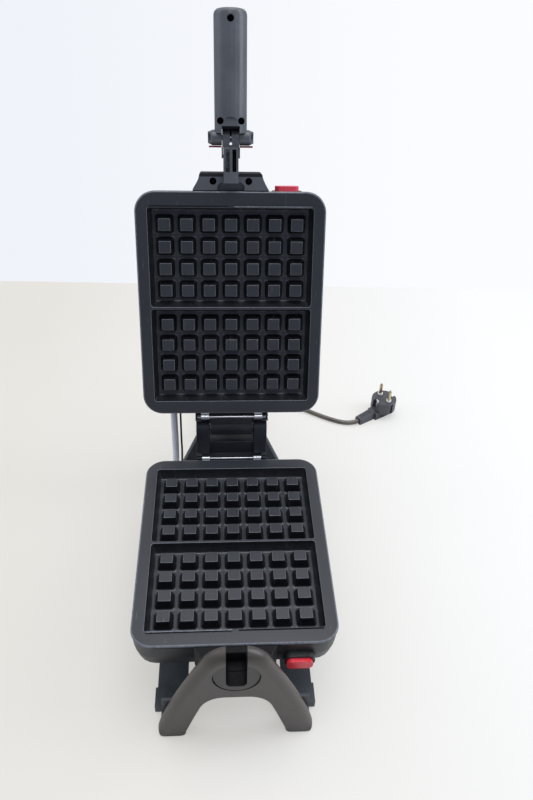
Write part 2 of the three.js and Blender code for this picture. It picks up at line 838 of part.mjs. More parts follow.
// Knuckle on the lid: a flange on the shell's pad, an arm and a barrel round the pin, in the closed pose
function hingeKnuckle() {
  const front = padY + seat;
  const bottom = padTop + partingGap + bite;
  const cheekRear = plateHalfDepth + upperCheekBehind;
  const parts = [
    block(-flangeHalfWidth, flangeHalfWidth, front, front + flangeThickness, bottom, flangeTop),
    block(
      -knuckleHalfWidth,
      knuckleHalfWidth,
      front + flangeThickness - bite,
      hingeY,
      hingeRise - knuckleArmHalf,
      hingeRise + knuckleArmHalf,
    ),
    bar("x", knuckleRadius, -knuckleHalfWidth, knuckleHalfWidth, hingeY, hingeRise),
  ];
  for (const side of [-1, 1]) {
    const [c0, c1] = side < 0 ? [-armOuter, -cheekInner] : [cheekInner, armOuter];
    parts.push(block(c0, c1, front, cheekRear, partingGap + seat, bottom + flangeThickness));
  }
  const radius = rodRadius + run;
  const rodZ = partingGap + rodDrop;
  return cut(
    join(...parts),
    bar("x", pinRadius + run, -armOuter, armOuter, hingeY, hingeRise, smallSides),
    bar("x", radius, -armOuter - overrun, armOuter + overrun, rodY, rodZ, smallSides),
    block(-armOuter - overrun, armOuter + overrun, rodY - radius, rodY + radius, rodZ - rodDrop - overrun, rodZ),
    bar(
      "z",
      knuckleHoleRadius,
      hingeRise - knuckleArmHalf - overrun,
      hingeRise - knuckleArmHalf + knuckleHoleDepth,
      0,
      rodY + knuckleHoleBehind,
      smallSides,
    ),
  );
}

// Brackets in front of the shells, with the trough that takes the handle's stem
function bracketShape() {
  const back = frontPadY - seat;
  const middle = (back + bracketFront) / 2;
  const shape = new THREE.Shape();
  shape.moveTo(bracketBackHalf, back);
  shape.lineTo(-bracketBackHalf, back);
  const waist = bracketFrontHalf + bracketWaist / 2;
  shape.quadraticCurveTo(-waist, middle, -bracketFrontHalf, bracketFront + bracketWaist);
  shape.quadraticCurveTo(-bracketFrontHalf, bracketFront, -bracketFrontHalf + bracketWaist, bracketFront);
  shape.lineTo(bracketFrontHalf - bracketWaist, bracketFront);
  shape.quadraticCurveTo(bracketFrontHalf, bracketFront, bracketFrontHalf, bracketFront + bracketWaist);
  shape.quadraticCurveTo(bracketFrontHalf + bracketWaist / 2, middle, bracketBackHalf, back);
  return shape;
}

function trough(back) {
  const top = axisHeight;
  const middle = (top - troughDepth) / 2;
  const shape = roundedRect(troughHalfWidth, (top + troughDepth) / 2, troughCorner, 0, middle);
  return slab("y", shape, archFront - overrun, back);
}

function troughBack() {
  return -(plateHalfDepth + cutoutDepth);
}

function lowerBracket() {
  return slab("z", bracketShape(), -bracketDepth, -bracketTop).subtract(trough(troughBack()));
}

function frontJournal() {
  const back = archBack + (bracketGap - seat);
  const front = archFront - journalProud;
  const disc = bar("y", journalRadius, front, archBack + bracketGap / 2, 0, 0);
  const neck = bar("y", journalRadius, archBack, back, 0, 0).intersect(
    block(-journalRadius, journalRadius, archBack, back, -journalRadius, -bracketTop - seat),
  );
  return join(disc, neck).subtract(trough(back + overrun));
}

// Upper bracket, made turned over like the other upper pieces
function upperBracket() {
  const stemWay = stemHalfHeight + run;
  const holes = [-1, 1].map((side) =>
    bar("z", screwRadius + run, -bracketDepth, overrun, side * bracketScrewX, bracketScrewYAt(), smallSides),
  );
  const sinks = [-1, 1].map((side) =>
    bar(
      "z",
      screwHead + run,
      -bracketTop - screwRecess - screwHeadHeight,
      overrun,
      side * bracketScrewX,
      bracketScrewYAt(),
      smallSides,
    ),
  );
  const way = stemHalfWidth + run;
  return cut(
    slab("z", bracketShape(), -bracketDepth, -bracketTop),
    block(-way, way, bracketFront - overrun, troughBack() - seat, -stemWay - partingGap, overrun),
    slab("z", recessShape(), -stemHalfHeight / 2, overrun),
    ...holes,
    ...sinks,
  );
}

// Outline of the recess behind the stem, open towards the shell
function recessShape() {
  const [front, back, half] = [troughBack() - bite, frontPadY + overrun, recessHalfWidth];
  const shape = new THREE.Shape();
  shape.moveTo(half - recessChamfer, front);
  shape.lineTo(half, front + recessChamfer);
  shape.lineTo(half, back);
  shape.lineTo(-half, back);
  shape.lineTo(-half, front + recessChamfer);
  shape.lineTo(recessChamfer - half, front);
  return shape;
}

function bracketScrewYAt() {
  return -(plateHalfDepth + bracketScrewY);
}

function bracketScrew(side) {
  const top = -bracketTop - screwRecess;
  const [x, y] = [side * bracketScrewX, bracketScrewYAt()];
  return join(
    bar("z", screwHead, top - screwHeadHeight + seat, top, x, y, smallSides),
    bar("z", screwRadius, top - screwLength, top - screwHeadHeight + seat + bite, x, y, smallSides),
  );
}

// Handle stem: three ribs with two deep grooves, and the hinge block that the ears hold
function handleStem() {
  const start = troughBack() - seat - run;
  const blockEnd = pivotY + hingeBlockReach;
  const shaft = block(-stemHalfWidth, stemHalfWidth, blockEnd - bite, start, -stemHalfHeight, stemHalfHeight);
  const half = handleGap - run;
  const radius = hingeBlockRadius;
  const hingeBlock = join(
    block(-half, half, pivotY, blockEnd, -radius, radius),
    bar("x", radius, -half, half, pivotY, 0),
  );
  const grooves = [];
  for (const face of [-1, 1]) {
    for (const side of [-1, 1]) {
      const [x0, x1] = [side * stemCore, side * (stemHalfWidth - stemRib)].sort((p, q) => p - q);
      const reach = [face * (stemHalfHeight - grooveCut), face * (stemHalfHeight + overrun)];
      const [z0, z1] = reach.sort((p, q) => p - q);
      grooves.push(block(x0, x1, blockEnd + grooveEnd, bracketFront - grooveEnd, z0, z1));
    }
  }
  const through = stemHalfHeight + overrun;
  return cut(
    join(shaft, hingeBlock),
    ...grooves,
    bar("x", pivotRadius + run, -barrelHalf, barrelHalf, pivotY, 0, smallSides),
    block(-slitHalf, slitHalf, pivotY - radius - overrun, pivotY + slitReach, -radius - overrun, radius + overrun),
    bar("z", lightHoleRadius, -through, through, 0, pivotY + lightHoleY, smallSides),
  );
}

function foldPin() {
  const half = barrelHalf - pinRecessDepth - seat;
  return bar("x", pivotRadius, -half, half, pivotY, 0, smallSides);
}

// Fold release: a bridge over the stem with two pads that lie under the grip's barrels
function foldRelease() {
  const near = pivotY + barrelRadius + releaseGap;
  const legs = pivotY + hingeBlockReach + run;
  const far = near + releaseBridge;
  const inner = stemHalfWidth + run;
  const outer = inner + releaseLeg;
  const over = stemHalfHeight + run;
  const parts = [];
  for (const side of [-1, 1]) {
    const pad = [side * (handleGap + run), side * releaseHalf].sort((p, q) => p - q);
    const leg = [side * inner, side * outer].sort((p, q) => p - q);
    parts.push(block(pad[0], pad[1], near, near + releaseThickness, -releaseFront, releaseBack));
    parts.push(block(leg[0], leg[1], legs, far, -releaseBack, releaseBack));
    parts.push(block(leg[0], leg[1], far - releaseBridgeWidth, far, 0, over + releaseBridgeThickness));
  }
  parts.push(block(-outer, outer, far - releaseBridgeWidth, far, over, over + releaseBridgeThickness));
  return join(...parts);
}

// Grip: a round handle in two halves on ears that hold the hinge block
function gripWhole() {
  const start = pivotY - gripStart;
  const end = start - gripLength;
  const profile = [new THREE.Vector2(0, start), new THREE.Vector2(0, end)];
  const steps = 3;
  for (let i = 0; i <= steps; i++) {
    const angle = ((i / steps) * Math.PI) / 2;
    const x = gripRadius - gripRound * (1 - Math.sin(angle));
    profile.push(new THREE.Vector2(x, end + gripRound * (1 - Math.cos(angle))));
  }
  profile.push(new THREE.Vector2(gripRadius, start), new THREE.Vector2(0, start));
  const round = solid(new THREE.LatheGeometry(profile.slice(1), roundSides));
  const inner = barrelHalf - barrelTaper;
  const barrel = join(
    bar("x", barrelRadius, -inner, inner, pivotY, 0),
    bar("x", barrelRadius, inner - bite, barrelHalf, pivotY, 0, roundSides, barrelEnd),
    bar("x", barrelEnd, -barrelHalf, bite - inner, pivotY, 0, roundSides, barrelRadius),
  );
  const screws = gripScrewPlaces().map(([x, y, top]) =>
    join(
      bar("z", gripScrewHole, -gripRadius - overrun, top + gripWall + seat, x, y, smallSides),
      bar("z", screwRadius + run, top, top + gripScrewLength + seat, x, y, smallSides),
    ),
  );
  const recesses = [-1, 1].map((side) => {
    const [x0, x1] = [side * (barrelHalf - pinRecessDepth), side * (barrelHalf + overrun)].sort((p, q) => p - q);
    return bar("x", pinRecessRadius, x0, x1, pivotY, 0, smallSides);
  });
  const deep = gripRadius + overrun;
  const pad = slab("z", gripPadShape(), -deep, gripPadDepth - gripRadius);
  const open = cut(
    join(round, barrel),
    block(-handleGap, handleGap, pivotY - slotReach, pivotY + barrelRadius + overrun, -deep, deep),
    bar("y", gripRadius - gripWall, end + gripHollowEnd, pivotY - gripHollowFrom, 0, 0, smallSides),
    bar("x", pivotRadius + run, -barrelHalf, barrelHalf, pivotY, 0, smallSides),
    ...recesses,
    ...screws,
    ...[-1, 1].map((side) => slab("y", barrelSlantShape(side), pivotY - barrelRadius - overrun, pivotY + deep)),
    pad,
  );
  const webWidth = handleGap + bite;
  const [webFrom, webTo] = [pivotY - slotReach - bite, pivotY - slotWebStart];
  return join(open, block(-webWidth, webWidth, webFrom, webTo, slotWebLow, slotWebHigh));
}

// What a barrel's end loses in front, so that the hole for the pin shows from there
function barrelSlantShape(side) {
  const [end, low] = [side * barrelHalf, -barrelRadius - overrun];
  const inner = side * (barrelHalf - barrelSlant);
  const shape = new THREE.Shape();
  shape.moveTo(end, barrelSlantTop);
  shape.lineTo(inner, -barrelRadius);
  shape.lineTo(inner, low);
  shape.lineTo(end + side * overrun, low);
  shape.lineTo(end + side * overrun, barrelSlantTop);
  return shape;
}

// Outline of the flat under the two low screws, with an arched end
function gripPadShape() {
  const end = pivotY - gripPadEnd;
  const shape = new THREE.Shape();
  shape.moveTo(gripPadHalf, pivotY);
  shape.lineTo(-gripPadHalf, pivotY);
  shape.lineTo(-gripPadHalf, end);
  shape.quadraticCurveTo(0, end - gripPadBow, gripPadHalf, end);
  return shape;
}

// Each screw's place and the level of its head's top
function gripScrewPlaces() {
  return [
    [0, pivotY - gripStart - gripLength + gripScrewEnd, gripScrewSink - gripRadius],
    [-gripScrewX, pivotY - gripScrewLow, gripScrewLowSink - gripRadius],
    [gripScrewX, pivotY - gripScrewLow, gripScrewLowSink - gripRadius],
  ];
}

function gripHalf(side) {
  const reach = gripRadius + barrelHalf;
  const end = pivotY - gripStart - gripLength - overrun;
  const [z0, z1] = side < 0 ? [-reach, -seat / 2] : [seat / 2, reach];
  return gripWhole().intersect(block(-reach, reach, end, pivotY + reach, z0, z1));
}

function gripScrew([x, y, top]) {
  return join(
    bar("z", gripScrewHead, top, top + gripWall, x, y, smallSides),
    bar("z", screwRadius, top + gripWall - bite, top + gripScrewLength, x, y, smallSides),
  );
}

// Base frame: two flat rails on rubber feet, joined under the tower, with a nose and a tab behind each arch leg
function baseFrame() {
  const noseTip = archBack + seat;
  const padFrom = noseTip + railFrontCut;
  const deckRear = towerRear + deckMargin;
  const parts = [block(-railOuter, railOuter, towerFront - deckMargin, deckRear, footHeight, deckTop)];
  for (const side of [-1, 1]) {
    const span = (a, b) => [side * a, side * b].sort((p, q) => p - q);
    const rail = span(railInner, railOuter);
    const pad = span(railInner - padWider / 2, railOuter + padWider);
    const nose = span(noseInner, noseOuter);
    const tabMiddle = (side * (noseInner + noseOuter)) / 2;
    parts.push(block(rail[0], rail[1], padFrom, towerFront, footHeight, deckTop));
    parts.push(block(pad[0], pad[1], padFrom, padFrom + padLength, footHeight, deckTop));
    parts.push(block(nose[0], nose[1], noseTip, padFrom + bite, footHeight, deckTop));
    parts.push(
      block(
        tabMiddle - tabHalfWidth,
        tabMiddle + tabHalfWidth,
        noseTip,
        noseTip + tabThickness,
        deckTop - bite,
        deckTop + tabHeight,
      ),
    );
  }
  const holes = [-1, 1].map((side) => {
    const [x, z] = archScrewAt(side);
    return bar("y", screwRadius + run, noseTip - overrun, noseTip + tabThickness + overrun, x, z, smallSides);
  });
  return cut(join(...parts), ...holes);
}

function archScrewAt(side) {
  return [(side * (noseInner + noseOuter)) / 2, deckTop + tabHeight / 2];
}

function archScrew(side) {
  const [x, z] = archScrewAt(side);
  const head = archBack + seat + tabThickness + seat;
  return join(
    bar("y", screwHead, head, head + screwHeadHeight, x, z, smallSides),
    bar("y", screwRadius, head - archScrewLength + screwHeadHeight, head + bite, x, z, smallSides),
  );
}

function rubberFoot(x, y) {
  return bar("z", footRadius, 0, footHeight - seat, x, y, smallSides);
}

// Front arch: a round head over the journal on two spread legs
function frontArch() {
  const turn = degrees(archHeadAngle);
  const headX = archHead * Math.cos(turn);
  const headZ = axisHeight + archHead * Math.sin(turn);
  const knee = axisHeight - archKneeDrop;
  const shape = new THREE.Shape();
  shape.moveTo(archFootInner + archToe, 0);
  shape.lineTo(archFootOuter - archToe, 0);
  shape.quadraticCurveTo(archFootOuter, 0, archFootOuter, archToe);
  shape.quadraticCurveTo(archKneeX, knee, headX, headZ);
  shape.absarc(0, axisHeight, archHead, turn, Math.PI - turn);
  shape.quadraticCurveTo(-archKneeX, knee, -archFootOuter, archToe);
  shape.quadraticCurveTo(-archFootOuter, 0, -archFootOuter + archToe, 0);
  shape.lineTo(-archFootInner - archToe, 0);
  shape.quadraticCurveTo(-archFootInner, 0, -archFootInner, archToe);
  shape.lineTo(-archInnerX, axisHeight - archInnerDrop);
  shape.quadraticCurveTo(-archHaunchX, axisHeight - archCrown, -archCrownHalf, axisHeight - archCrown);
  shape.lineTo(archCrownHalf, axisHeight - archCrown);
  shape.quadraticCurveTo(archHaunchX, axisHeight - archCrown, archInnerX, axisHeight - archInnerDrop);
  shape.lineTo(archFootInner, archToe);
  shape.quadraticCurveTo(archFootInner, 0, archFootInner + archToe, 0);
  const body = slab("y", shape, archFront + archEdge, archBack + archEdge, {
    bevelEnabled: true,
    bevelThickness: archEdge,
    bevelSize: archEdge,
    bevelOffset: -archEdge,
    bevelSegments: 2,
    curveSegments: outlineSteps,
  });
  const keep = block(-archFootOuter, archFootOuter, archFront, archBack, 0, axisHeight + archHead);
  const screws = [-1, 1].map((side) => {
    const [x, z] = archScrewAt(side);
    return bar("y", screwRadius + run, archBack - archScrewLength + seat, archBack + overrun, x, z, smallSides);
  });
  return cut(
    body.intersect(keep),
    bar("y", journalRadius + run, archFront - overrun, archBack + overrun, 0, axisHeight),
    bar("y", recessRadius, archFront - overrun, archFront + recessDepth, 0, axisHeight),
    block(
      -troughHalfWidth,
      troughHalfWidth,
      archFront - overrun,
      archBack + overrun,
      axisHeight,
      axisHeight + archHead + overrun,
    ),
    ...screws,
  );
}

// Tower: front shell with the bush, and a rear cover; its sides draw in towards the back
function towerRing(y, inset, raise) {
  const drop = axisHeight - deckTop - seat;
  const lean = Math.acos(towerHead / Math.hypot(towerFoot, drop)) - Math.atan2(drop, towerFoot);
  const radius = towerHead - inset;
  const foot = (radius + (drop - raise) * Math.sin(lean)) / Math.cos(lean);
  const ring = [];
  for (let i = 0; i <= 2 * outlineSteps; i++) {
    const angle = (Math.PI / 2 - lean) * (i / outlineSteps - 1);
    ring.push([radius * Math.sin(angle), y, axisHeight + radius * Math.cos(angle)]);
  }
  const low = axisHeight - drop + raise;
  return [...ring, [foot, y, low], [-foot, y, low]];
}

function towerInset(y) {
  return Math.max(0, (y - towerFront - towerStraight) * towerTaperShare);
}

function towerLoft(stations, wall = 0) {
  return loft(stations.map(([y, more = 0]) => towerRing(y, towerInset(y) + more + wall, wall)));
}

function coverScrewAt(side) {
  return [side * coverScrewSpread, deckTop + coverScrewRise];
}

function rearTower() {
  const straight = towerFront + towerStraight;
  const hull = towerLoft([[towerFront, towerEdge], [towerFront + towerEdge], [straight], [towerSplit]]);
  const room = towerLoft([[towerFront + towerWall], [straight], [towerSplit], [towerSplit + overrun]], towerWall);
  const bearingRadius = axleRadius + run + bushWall + run + towerWall;
  const bearing = bar("y", bearingRadius, towerFront, towerFront + bushLength - bite, 0, axisHeight);
  const bosses = [-1, 1].map((side) => {
    const [x, z] = coverScrewAt(side);
    return bar("y", bossRadius, towerFront + towerWall - bite, towerSplit, x, z, smallSides);
  });
  const holes = [-1, 1].map((side) => {
    const [x, z] = coverScrewAt(side);
    return bar("y", coverScrewRadius + run, towerSplit - screwLength, towerSplit + overrun, x, z, smallSides);
  });
  return cut(
    join(cut(hull, room), bearing, ...bosses),
    bar("y", bearingRadius - towerWall, towerFront - overrun, towerFront + bushLength + overrun, 0, axisHeight),
    ...holes,
  );
}

function towerCover() {
  const hull = towerLoft([[towerSplit + seat], [towerRear - towerEdge], [towerRear, towerEdge]]);
  const room = towerLoft([[towerSplit - overrun], [towerSplit], [towerRear - coverWall]], towerWall);
  const bosses = [-1, 1].map((side) => {
    const [x, z] = coverScrewAt(side);
    return bar("y", bossRadius, towerSplit + seat, towerRear - bite, x, z, smallSides);
  });
  const holes = [-1, 1].map((side) => {
    const [x, z] = coverScrewAt(side);
    return bar("y", coverScrewRadius + run, towerSplit - overrun, towerRear + overrun, x, z, smallSides);
  });
  const holeRadius = reliefBase + run;
  const reliefHole = bar("y", holeRadius, towerSplit - overrun, towerRear + overrun, reliefX(), reliefZ(), smallSides);
  return cut(join(cut(hull, room), ...bosses), ...holes, reliefHole);
}

function coverScrew(side) {
  const [x, z] = coverScrewAt(side);
  return join(
    bar("y", coverScrewHead, towerRear + seat, towerRear + seat + coverScrewHeadHeight, x, z, smallSides),
    bar("y", coverScrewRadius, towerSplit - screwLength + seat, towerRear + seat + bite, x, z, smallSides),
  );
}

function axleBush() {
  const inner = axleRadius + run;
  const outer = inner + bushWall;
  return cut(
    join(
      bar("y", outer, towerFront - bushFlangeThickness - seat, towerFront + bushLength, 0, axisHeight),
      bar("y", bushFlangeRadius, towerFront - bushFlangeThickness - seat, towerFront - seat, 0, axisHeight),
    ),
    bar("y", inner, towerFront - overrun, towerFront + bushLength + overrun, 0, axisHeight),
  );
}

function terminalBlock() {
  const back = towerFront + towerWall + seat;
  const middle = back + terminalDepth / 2;
  const low = deckTop + terminalRise;
  const high = low + terminalHeight;
  const body = block(-terminalWidth / 2, terminalWidth / 2, back, back + terminalDepth, low, high);
  const ways = [-1, 0, 1].map((step) =>
    bar("z", screwRadius, low - overrun, high + overrun, (step * terminalWidth) / 3, middle, smallSides),
  );
  return cut(body, ...ways);
}

// Mains cord: relief at the tower, a lead into the coil, the coil behind the machine, a lead to the plug
function reliefX() {
  return coilX - coilEndRadius();
}

function reliefZ() {
  return deckTop + reliefHeight;
}

function coilEndRadius() {
  return coilInner + (coilTurns / 2) * (2 * cordRadius + coilGap);
}

function coilCentreY() {
  return plateHalfDepth + coilBehind;
}

function strainRelief() {
  const collar = towerRear + seat;
  return join(
    bar("y", reliefBase, towerRear - coverWall, collar + bite, reliefX(), reliefZ(), smallSides),
    bar("y", reliefCollar, collar, collar + reliefCollarThickness, reliefX(), reliefZ(), smallSides),
    bar("y", reliefBase, collar, collar + reliefLength, reliefX(), reliefZ(), smallSides, reliefTip),
  );
}

// Points along the coil: it winds in on the table, climbs as it turns back, and winds out on top.
function coilPoints() {
  const pitch = 2 * cordRadius + coilGap;
  const total = coilTurns * 2 * Math.PI;
  const middle = total / 2;
  const steps = Math.round(coilTurns * loopSteps);
  const points = [];
  const at = (turn, radius, z) => {
    const angle = Math.PI - turn;
    return new THREE.Vector3(coilX + radius * Math.cos(angle), coilCentreY() + radius * Math.sin(angle), z);
  };
  for (let i = 0; i <= steps; i++) {
    const turn = (total * i) / steps;
    const radius = coilInner + (pitch * Math.abs(turn - middle)) / (2 * Math.PI);
    const climb = THREE.MathUtils.clamp((turn - middle) / Math.PI + 1 / 2, 0, 1);
    points.push(at(turn, radius, cordRadius + climb * pitch));
  }
  const first = points[0].clone();
  first.y -= 2 * cordRadius;
  const last = points[points.length - 1].clone();
  last.x += 2 * cordRadius;
  return [first, ...points, last];
}

function leastGap(points) {
  let least = Infinity;
  for (let i = 0; i < points.length; i++) {
    for (let j = i + loopSteps / 2; j < points.length; j++) {
      least = Math.min(least, points[i].distanceTo(points[j]));
    }
  }
  return least - 2 * cordRadius;
}

function cordCoil() {
  const points = coilPoints();
  console.log("least gap between the coil's turns: " + leastGap(points).toFixed(2) + " mm");
  const rings = points.map((point, i) => {
    const before = points[Math.max(i - 1, 0)];
    const after = points[Math.min(i + 1, points.length - 1)];
    const tangent = after.clone().sub(before);
    if (i === 0 || i === 1) tangent.set(0, 1, 0);
    if (i >= points.length - 2) tangent.set(1, 0, 0);
    return ringAround(point, tangent.normalize(), unitZ, cordRadius, loopSides);
  });
  return loft(rings);
}

// Share of the way from the relief to the coil, and of the height over the table
const leadInShares = [[0, 1], [0.07, 1], [0.25, 0.9], [0.5, 0.5], [0.75, 0.1], [0.93, 0], [1, 0]];

function cordLeadIn() {
  const from = towerRear + seat + reliefLength + seat;
  const end = coilPoints()[0];
  const length = end.y - seat - from;
  return leadInShares.map(([back, high]) => [
    end.x,
    from + back * length,
    cordRadius + high * (reliefZ() - cordRadius),
  ]);
}

function plugPlace() {
  return [plugX, plateHalfDepth + plugYBehind];
}

function plugOut(distance) {
  const [x, y] = plugPlace();
  const heading = degrees(plugHeading);
  return [x + distance * Math.cos(heading), y + distance * Math.sin(heading)];
}

// Share of the way from the coil to the plug, of the way towards the front, and of the height over the table
const leadOutShares = [
  [0, 0, 1],
  [0.05, 0.002, 0.9],
  [0.12, 0.02, 0.45],
  [0.19, 0.047, 0.08],
  [0.28, 0.11, 0.02],
  [0.377, 0.207, 0.002],
  [0.45, 0.305, 0],
  [0.52, 0.41, 0],
  [0.594, 0.54, 0],
  [0.664, 0.686, 0],
  [0.734, 0.825, 0],
  [0.805, 0.945, 0],
  [0.87, 1.025, 0],
  [0.93, 1.05, 0.02],
];

function cordLeadOut() {
  const start = coilPoints().pop();
  const [endX, endY] = plugOut(bootEnd + seat);
  const [nearX, nearY] = plugOut(bootEnd + seat + cordRadius);
  const from = start.x + seat;
  const points = leadOutShares.map(([along, forward, high]) => [
    from + along * (endX - from),
    start.y + forward * (endY - start.y),
    cordRadius + high * (start.z - cordRadius),
  ]);
  return [...points, [nearX, nearY, bootTip - bite / 2], [endX, endY, bootTip]];
}

function pathLength(points) {
  return curveThrough(points).getLength();
}

function straightCord(points) {
  const spacing = 5 * cordRadius;
  const spareSteps = 4;
  const steps = Math.round(pathLength(points) / spacing) + spareSteps;
  return tube(curveThrough(points), cordRadius, cordSides, steps);
}

function atPlug(made, along = 0, across = 0, z = 0) {
  const [x, y] = plugPlace();
  const turn = new THREE.Matrix4().makeRotationZ(degrees(plugHeading)).setPosition(x, y, 0);
  const shift = new THREE.Matrix4().makeTranslation(along, across, z);
  const geometry = geometryOf(made);
  return solid(geometry.applyMatrix4(shift).applyMatrix4(turn));
}

// Plug body: a round head on a flat back that it lies on, with a notch for each earth clip in line with
// the flex, a guide groove on either side, and a boot that narrows along the flex
function plugBody() {
  const head = loft([
    ringOf(plugRadius - plugRim, plugHeadLow),
    ringOf(plugRadius, plugHeadLow + plugRim),
    ringOf(plugRadius, plugHeight - plugRim / 2),
    ringOf(plugRadius - plugRim / 2, plugHeight),
  ]);
  const back = loft([
    wedgeRing(-backBehind, backHalf, backHeight, backBevel),
    wedgeRing(backAhead, backHalf, backHeight, backBevel),
  ]);
  const boot = loft([
    wedgeRing(0, bootHalf, bootHeight + bootBevel, bootBevel),
    wedgeRing(backAhead, bootHalf, bootHeight, bootBevel),
    wedgeRing(bootEnd, bootHalf, bootEndHeight, bootBevel),
  ]);
  const notchInner = clipRadius - clipDepth - seat;
  const tools = [-1, 1].flatMap((side) => {
    const [x0, x1] = side < 0 ? [-plugRadius - overrun, -notchInner] : [notchInner, plugRadius + overrun];
    const guideInner = plugRadius - guideDepth;
    const [y0, y1] = side < 0 ? [-plugRadius - overrun, -guideInner] : [guideInner, plugRadius + overrun];
    const half = clipNotchWidth / 2;
    const guide = guideWidth / 2;
    return [
      block(x0, x1, -half, half, plugHeight - clipHeight, plugHeight + overrun),
      block(-guide, guide, y0, y1, guideLow, plugHeight - plugRim / 2),
    ];
  });
  return atPlug(cut(join(head, back, boot), ...tools));
}

// A section of the plug's back or boot at a distance along the flex: flat below, bevelled above
function wedgeRing(x, half, height, bevel) {
  return [
    [x, -half, 0],
    [x, half, 0],
    [x, half, height - bevel],
    [x, half - bevel, height],
    [x, bevel - half, height],
    [x, -half, height - bevel],
  ];
}

function ringOf(radius, z) {
  return Array.from({ length: roundSides }, (_, i) => {
    const angle = (2 * Math.PI * i) / roundSides;
    return [radius * Math.cos(angle), radius * Math.sin(angle), z];
  });
}

function plugSleeve(side) {
  const y = (side * plugPinSpacing) / 2;
  const from = plugHeight + seat;
  return atPlug(
    bar("z", sleeveRadius, from, from + sleeveHeight, 0, y, smallSides).subtract(
      bar("z", plugPinRadius + seat, from - overrun, from + sleeveHeight + overrun, 0, y, smallSides),
    ),
  );
}

function plugPin(side) {
  const y = (side * plugPinSpacing) / 2;
  const from = plugHeight + seat;
  const shoulder = from + plugPinLength - plugPinRadius;
  return atPlug(
    join(
      bar("z", plugPinRadius, from, shoulder, 0, y, smallSides),
      bar("z", plugPinRadius, shoulder - bite, from + plugPinLength, 0, y, smallSides, plugPinRadius / 2),
    ),
  );
}

function earthClip(side) {
  const reach = clipRadius - clipDepth;
  const [x0, x1] = side < 0 ? [-clipRadius, -reach] : [reach, clipRadius];
  const low = plugHeight - clipHeight + seat;
  return atPlug(block(x0, x1, -clipWidth / 2, clipWidth / 2, low, plugHeight));
}

// Conduit and wire: from the lower shell's port back and up to the lid's port, as they stand with the lid open
function portPoint(x, z) {
  return new THREE.Vector3(x, portY + seat, z);
}

function lidPort(x, extra) {
  const turn = new THREE.Matrix4().makeRotationX(-degrees(openAngle));
  const local = new THREE.Vector3(x, portY + seat + extra - hingeY, partingGap + portZ - hingeRise);
  return local.applyMatrix4(turn).add(new THREE.Vector3(0, hingeY, hingeRise));
}

function portPath(x, straight) {
  const start = portPoint(x, -portZ);
  const ahead = start.clone().setY(start.y + straight);
  const end = lidPort(x, 0);
  const before = lidPort(x, straight);
  const low = new THREE.Vector3(x, start.y + conduitBow, -portZ + conduitBowLow);
  const high = new THREE.Vector3(x, start.y + conduitBow + straight / 2, conduitBowLow / 2);
  return new THREE.CatmullRomCurve3([start, ahead, low, high, before, end], false, "centripetal");
}

function conduit() {
  const straight = 2 * conduitRadius;
  const path = portPath(conduitX, straight);
  const length = path.getLength();
  const share = straight / length;
  const ringAt = (t, radius) =>
    ringAround(path.getPointAt(t), path.getTangentAt(t), unitX, radius, ribSides);
  const outer = [ringAt(0, conduitRadius)];
  for (let i = 0; i < conduitRibs; i++) {
    const step = (1 - 2 * share) / conduitRibs;
    const t = share + i * step;
    outer.push(ringAt(t, conduitRadius - conduitRib), ringAt(t + step / 2, conduitRadius));
  }
  outer.push(ringAt(1 - share, conduitRadius - conduitRib), ringAt(1, conduitRadius));
  const inner = [];
  for (let i = 0; i <= conduitRibs; i += boreEvery) inner.push(ringAt(i / conduitRibs, conduitBore));
  if (conduitRibs % boreEvery) inner.push(ringAt(1, conduitBore));
  return sleeve([...outer, ...inner.reverse()]);
}

// Joins rings into a closed skin with a bore: the last ring joins the first.
function sleeve(rings) {
  const sides = rings[0].length;
  const index = [];
  for (let k = 0; k < rings.length; k++) {
    const [low, high] = [k * sides, ((k + 1) % rings.length) * sides];
    for (let i = 0; i < sides; i++) {
      const j = (i + 1) % sides;
      index.push(low + i, low + j, high + j, low + i, high + j, high + i);
    }
  }
  const geometry = new THREE.BufferGeometry();
  geometry.setAttribute("position", new THREE.Float32BufferAttribute(rings.flat(2), 3));
  geometry.setIndex(index);
  return solid(geometry);
}

function earthWire() {
  return tube(portPath(wireX, 2 * wireRadius), wireRadius, ribSides, wireSteps);
}

// The stand
stand.add(
  mesh("base_frame", baseFrame(), shellBlack, 0.5),
  mesh("rear_tower", rearTower(), shellBlack, 0.5),
  mesh("tower_cover", towerCover(), shellBlack, 0.5),
  mesh("front_arch", frontArch(), archGrey, 0.55),
  mesh("axle_bush", axleBush(), ceramic, 0.5),
  mesh("terminal_block", terminalBlock(), ceramic, 0.6),
  mesh("strain_relief", strainRelief(), rubberBlack, 0.7),
);
const footX = (railInner + railOuter) / 2;
const footFrontY = archBack + railFrontCut + padLength;
const footRearY = towerRear - footRadius;
for (const [side, word] of [[-1, "left"], [1, "right"]]) {
  stand.add(
    mesh("foot_front_" + word, rubberFoot(side * footX, footFrontY), rubberBlack, 0.8),
    mesh("foot_rear_" + word, rubberFoot(side * footX, footRearY), rubberBlack, 0.8),
    mesh("arch_screw_" + word, archScrew(side), brightSteel, 0.4, 1),
    mesh("cover_screw_" + word, coverScrew(side), brightSteel, 0.4, 1),
  );
}

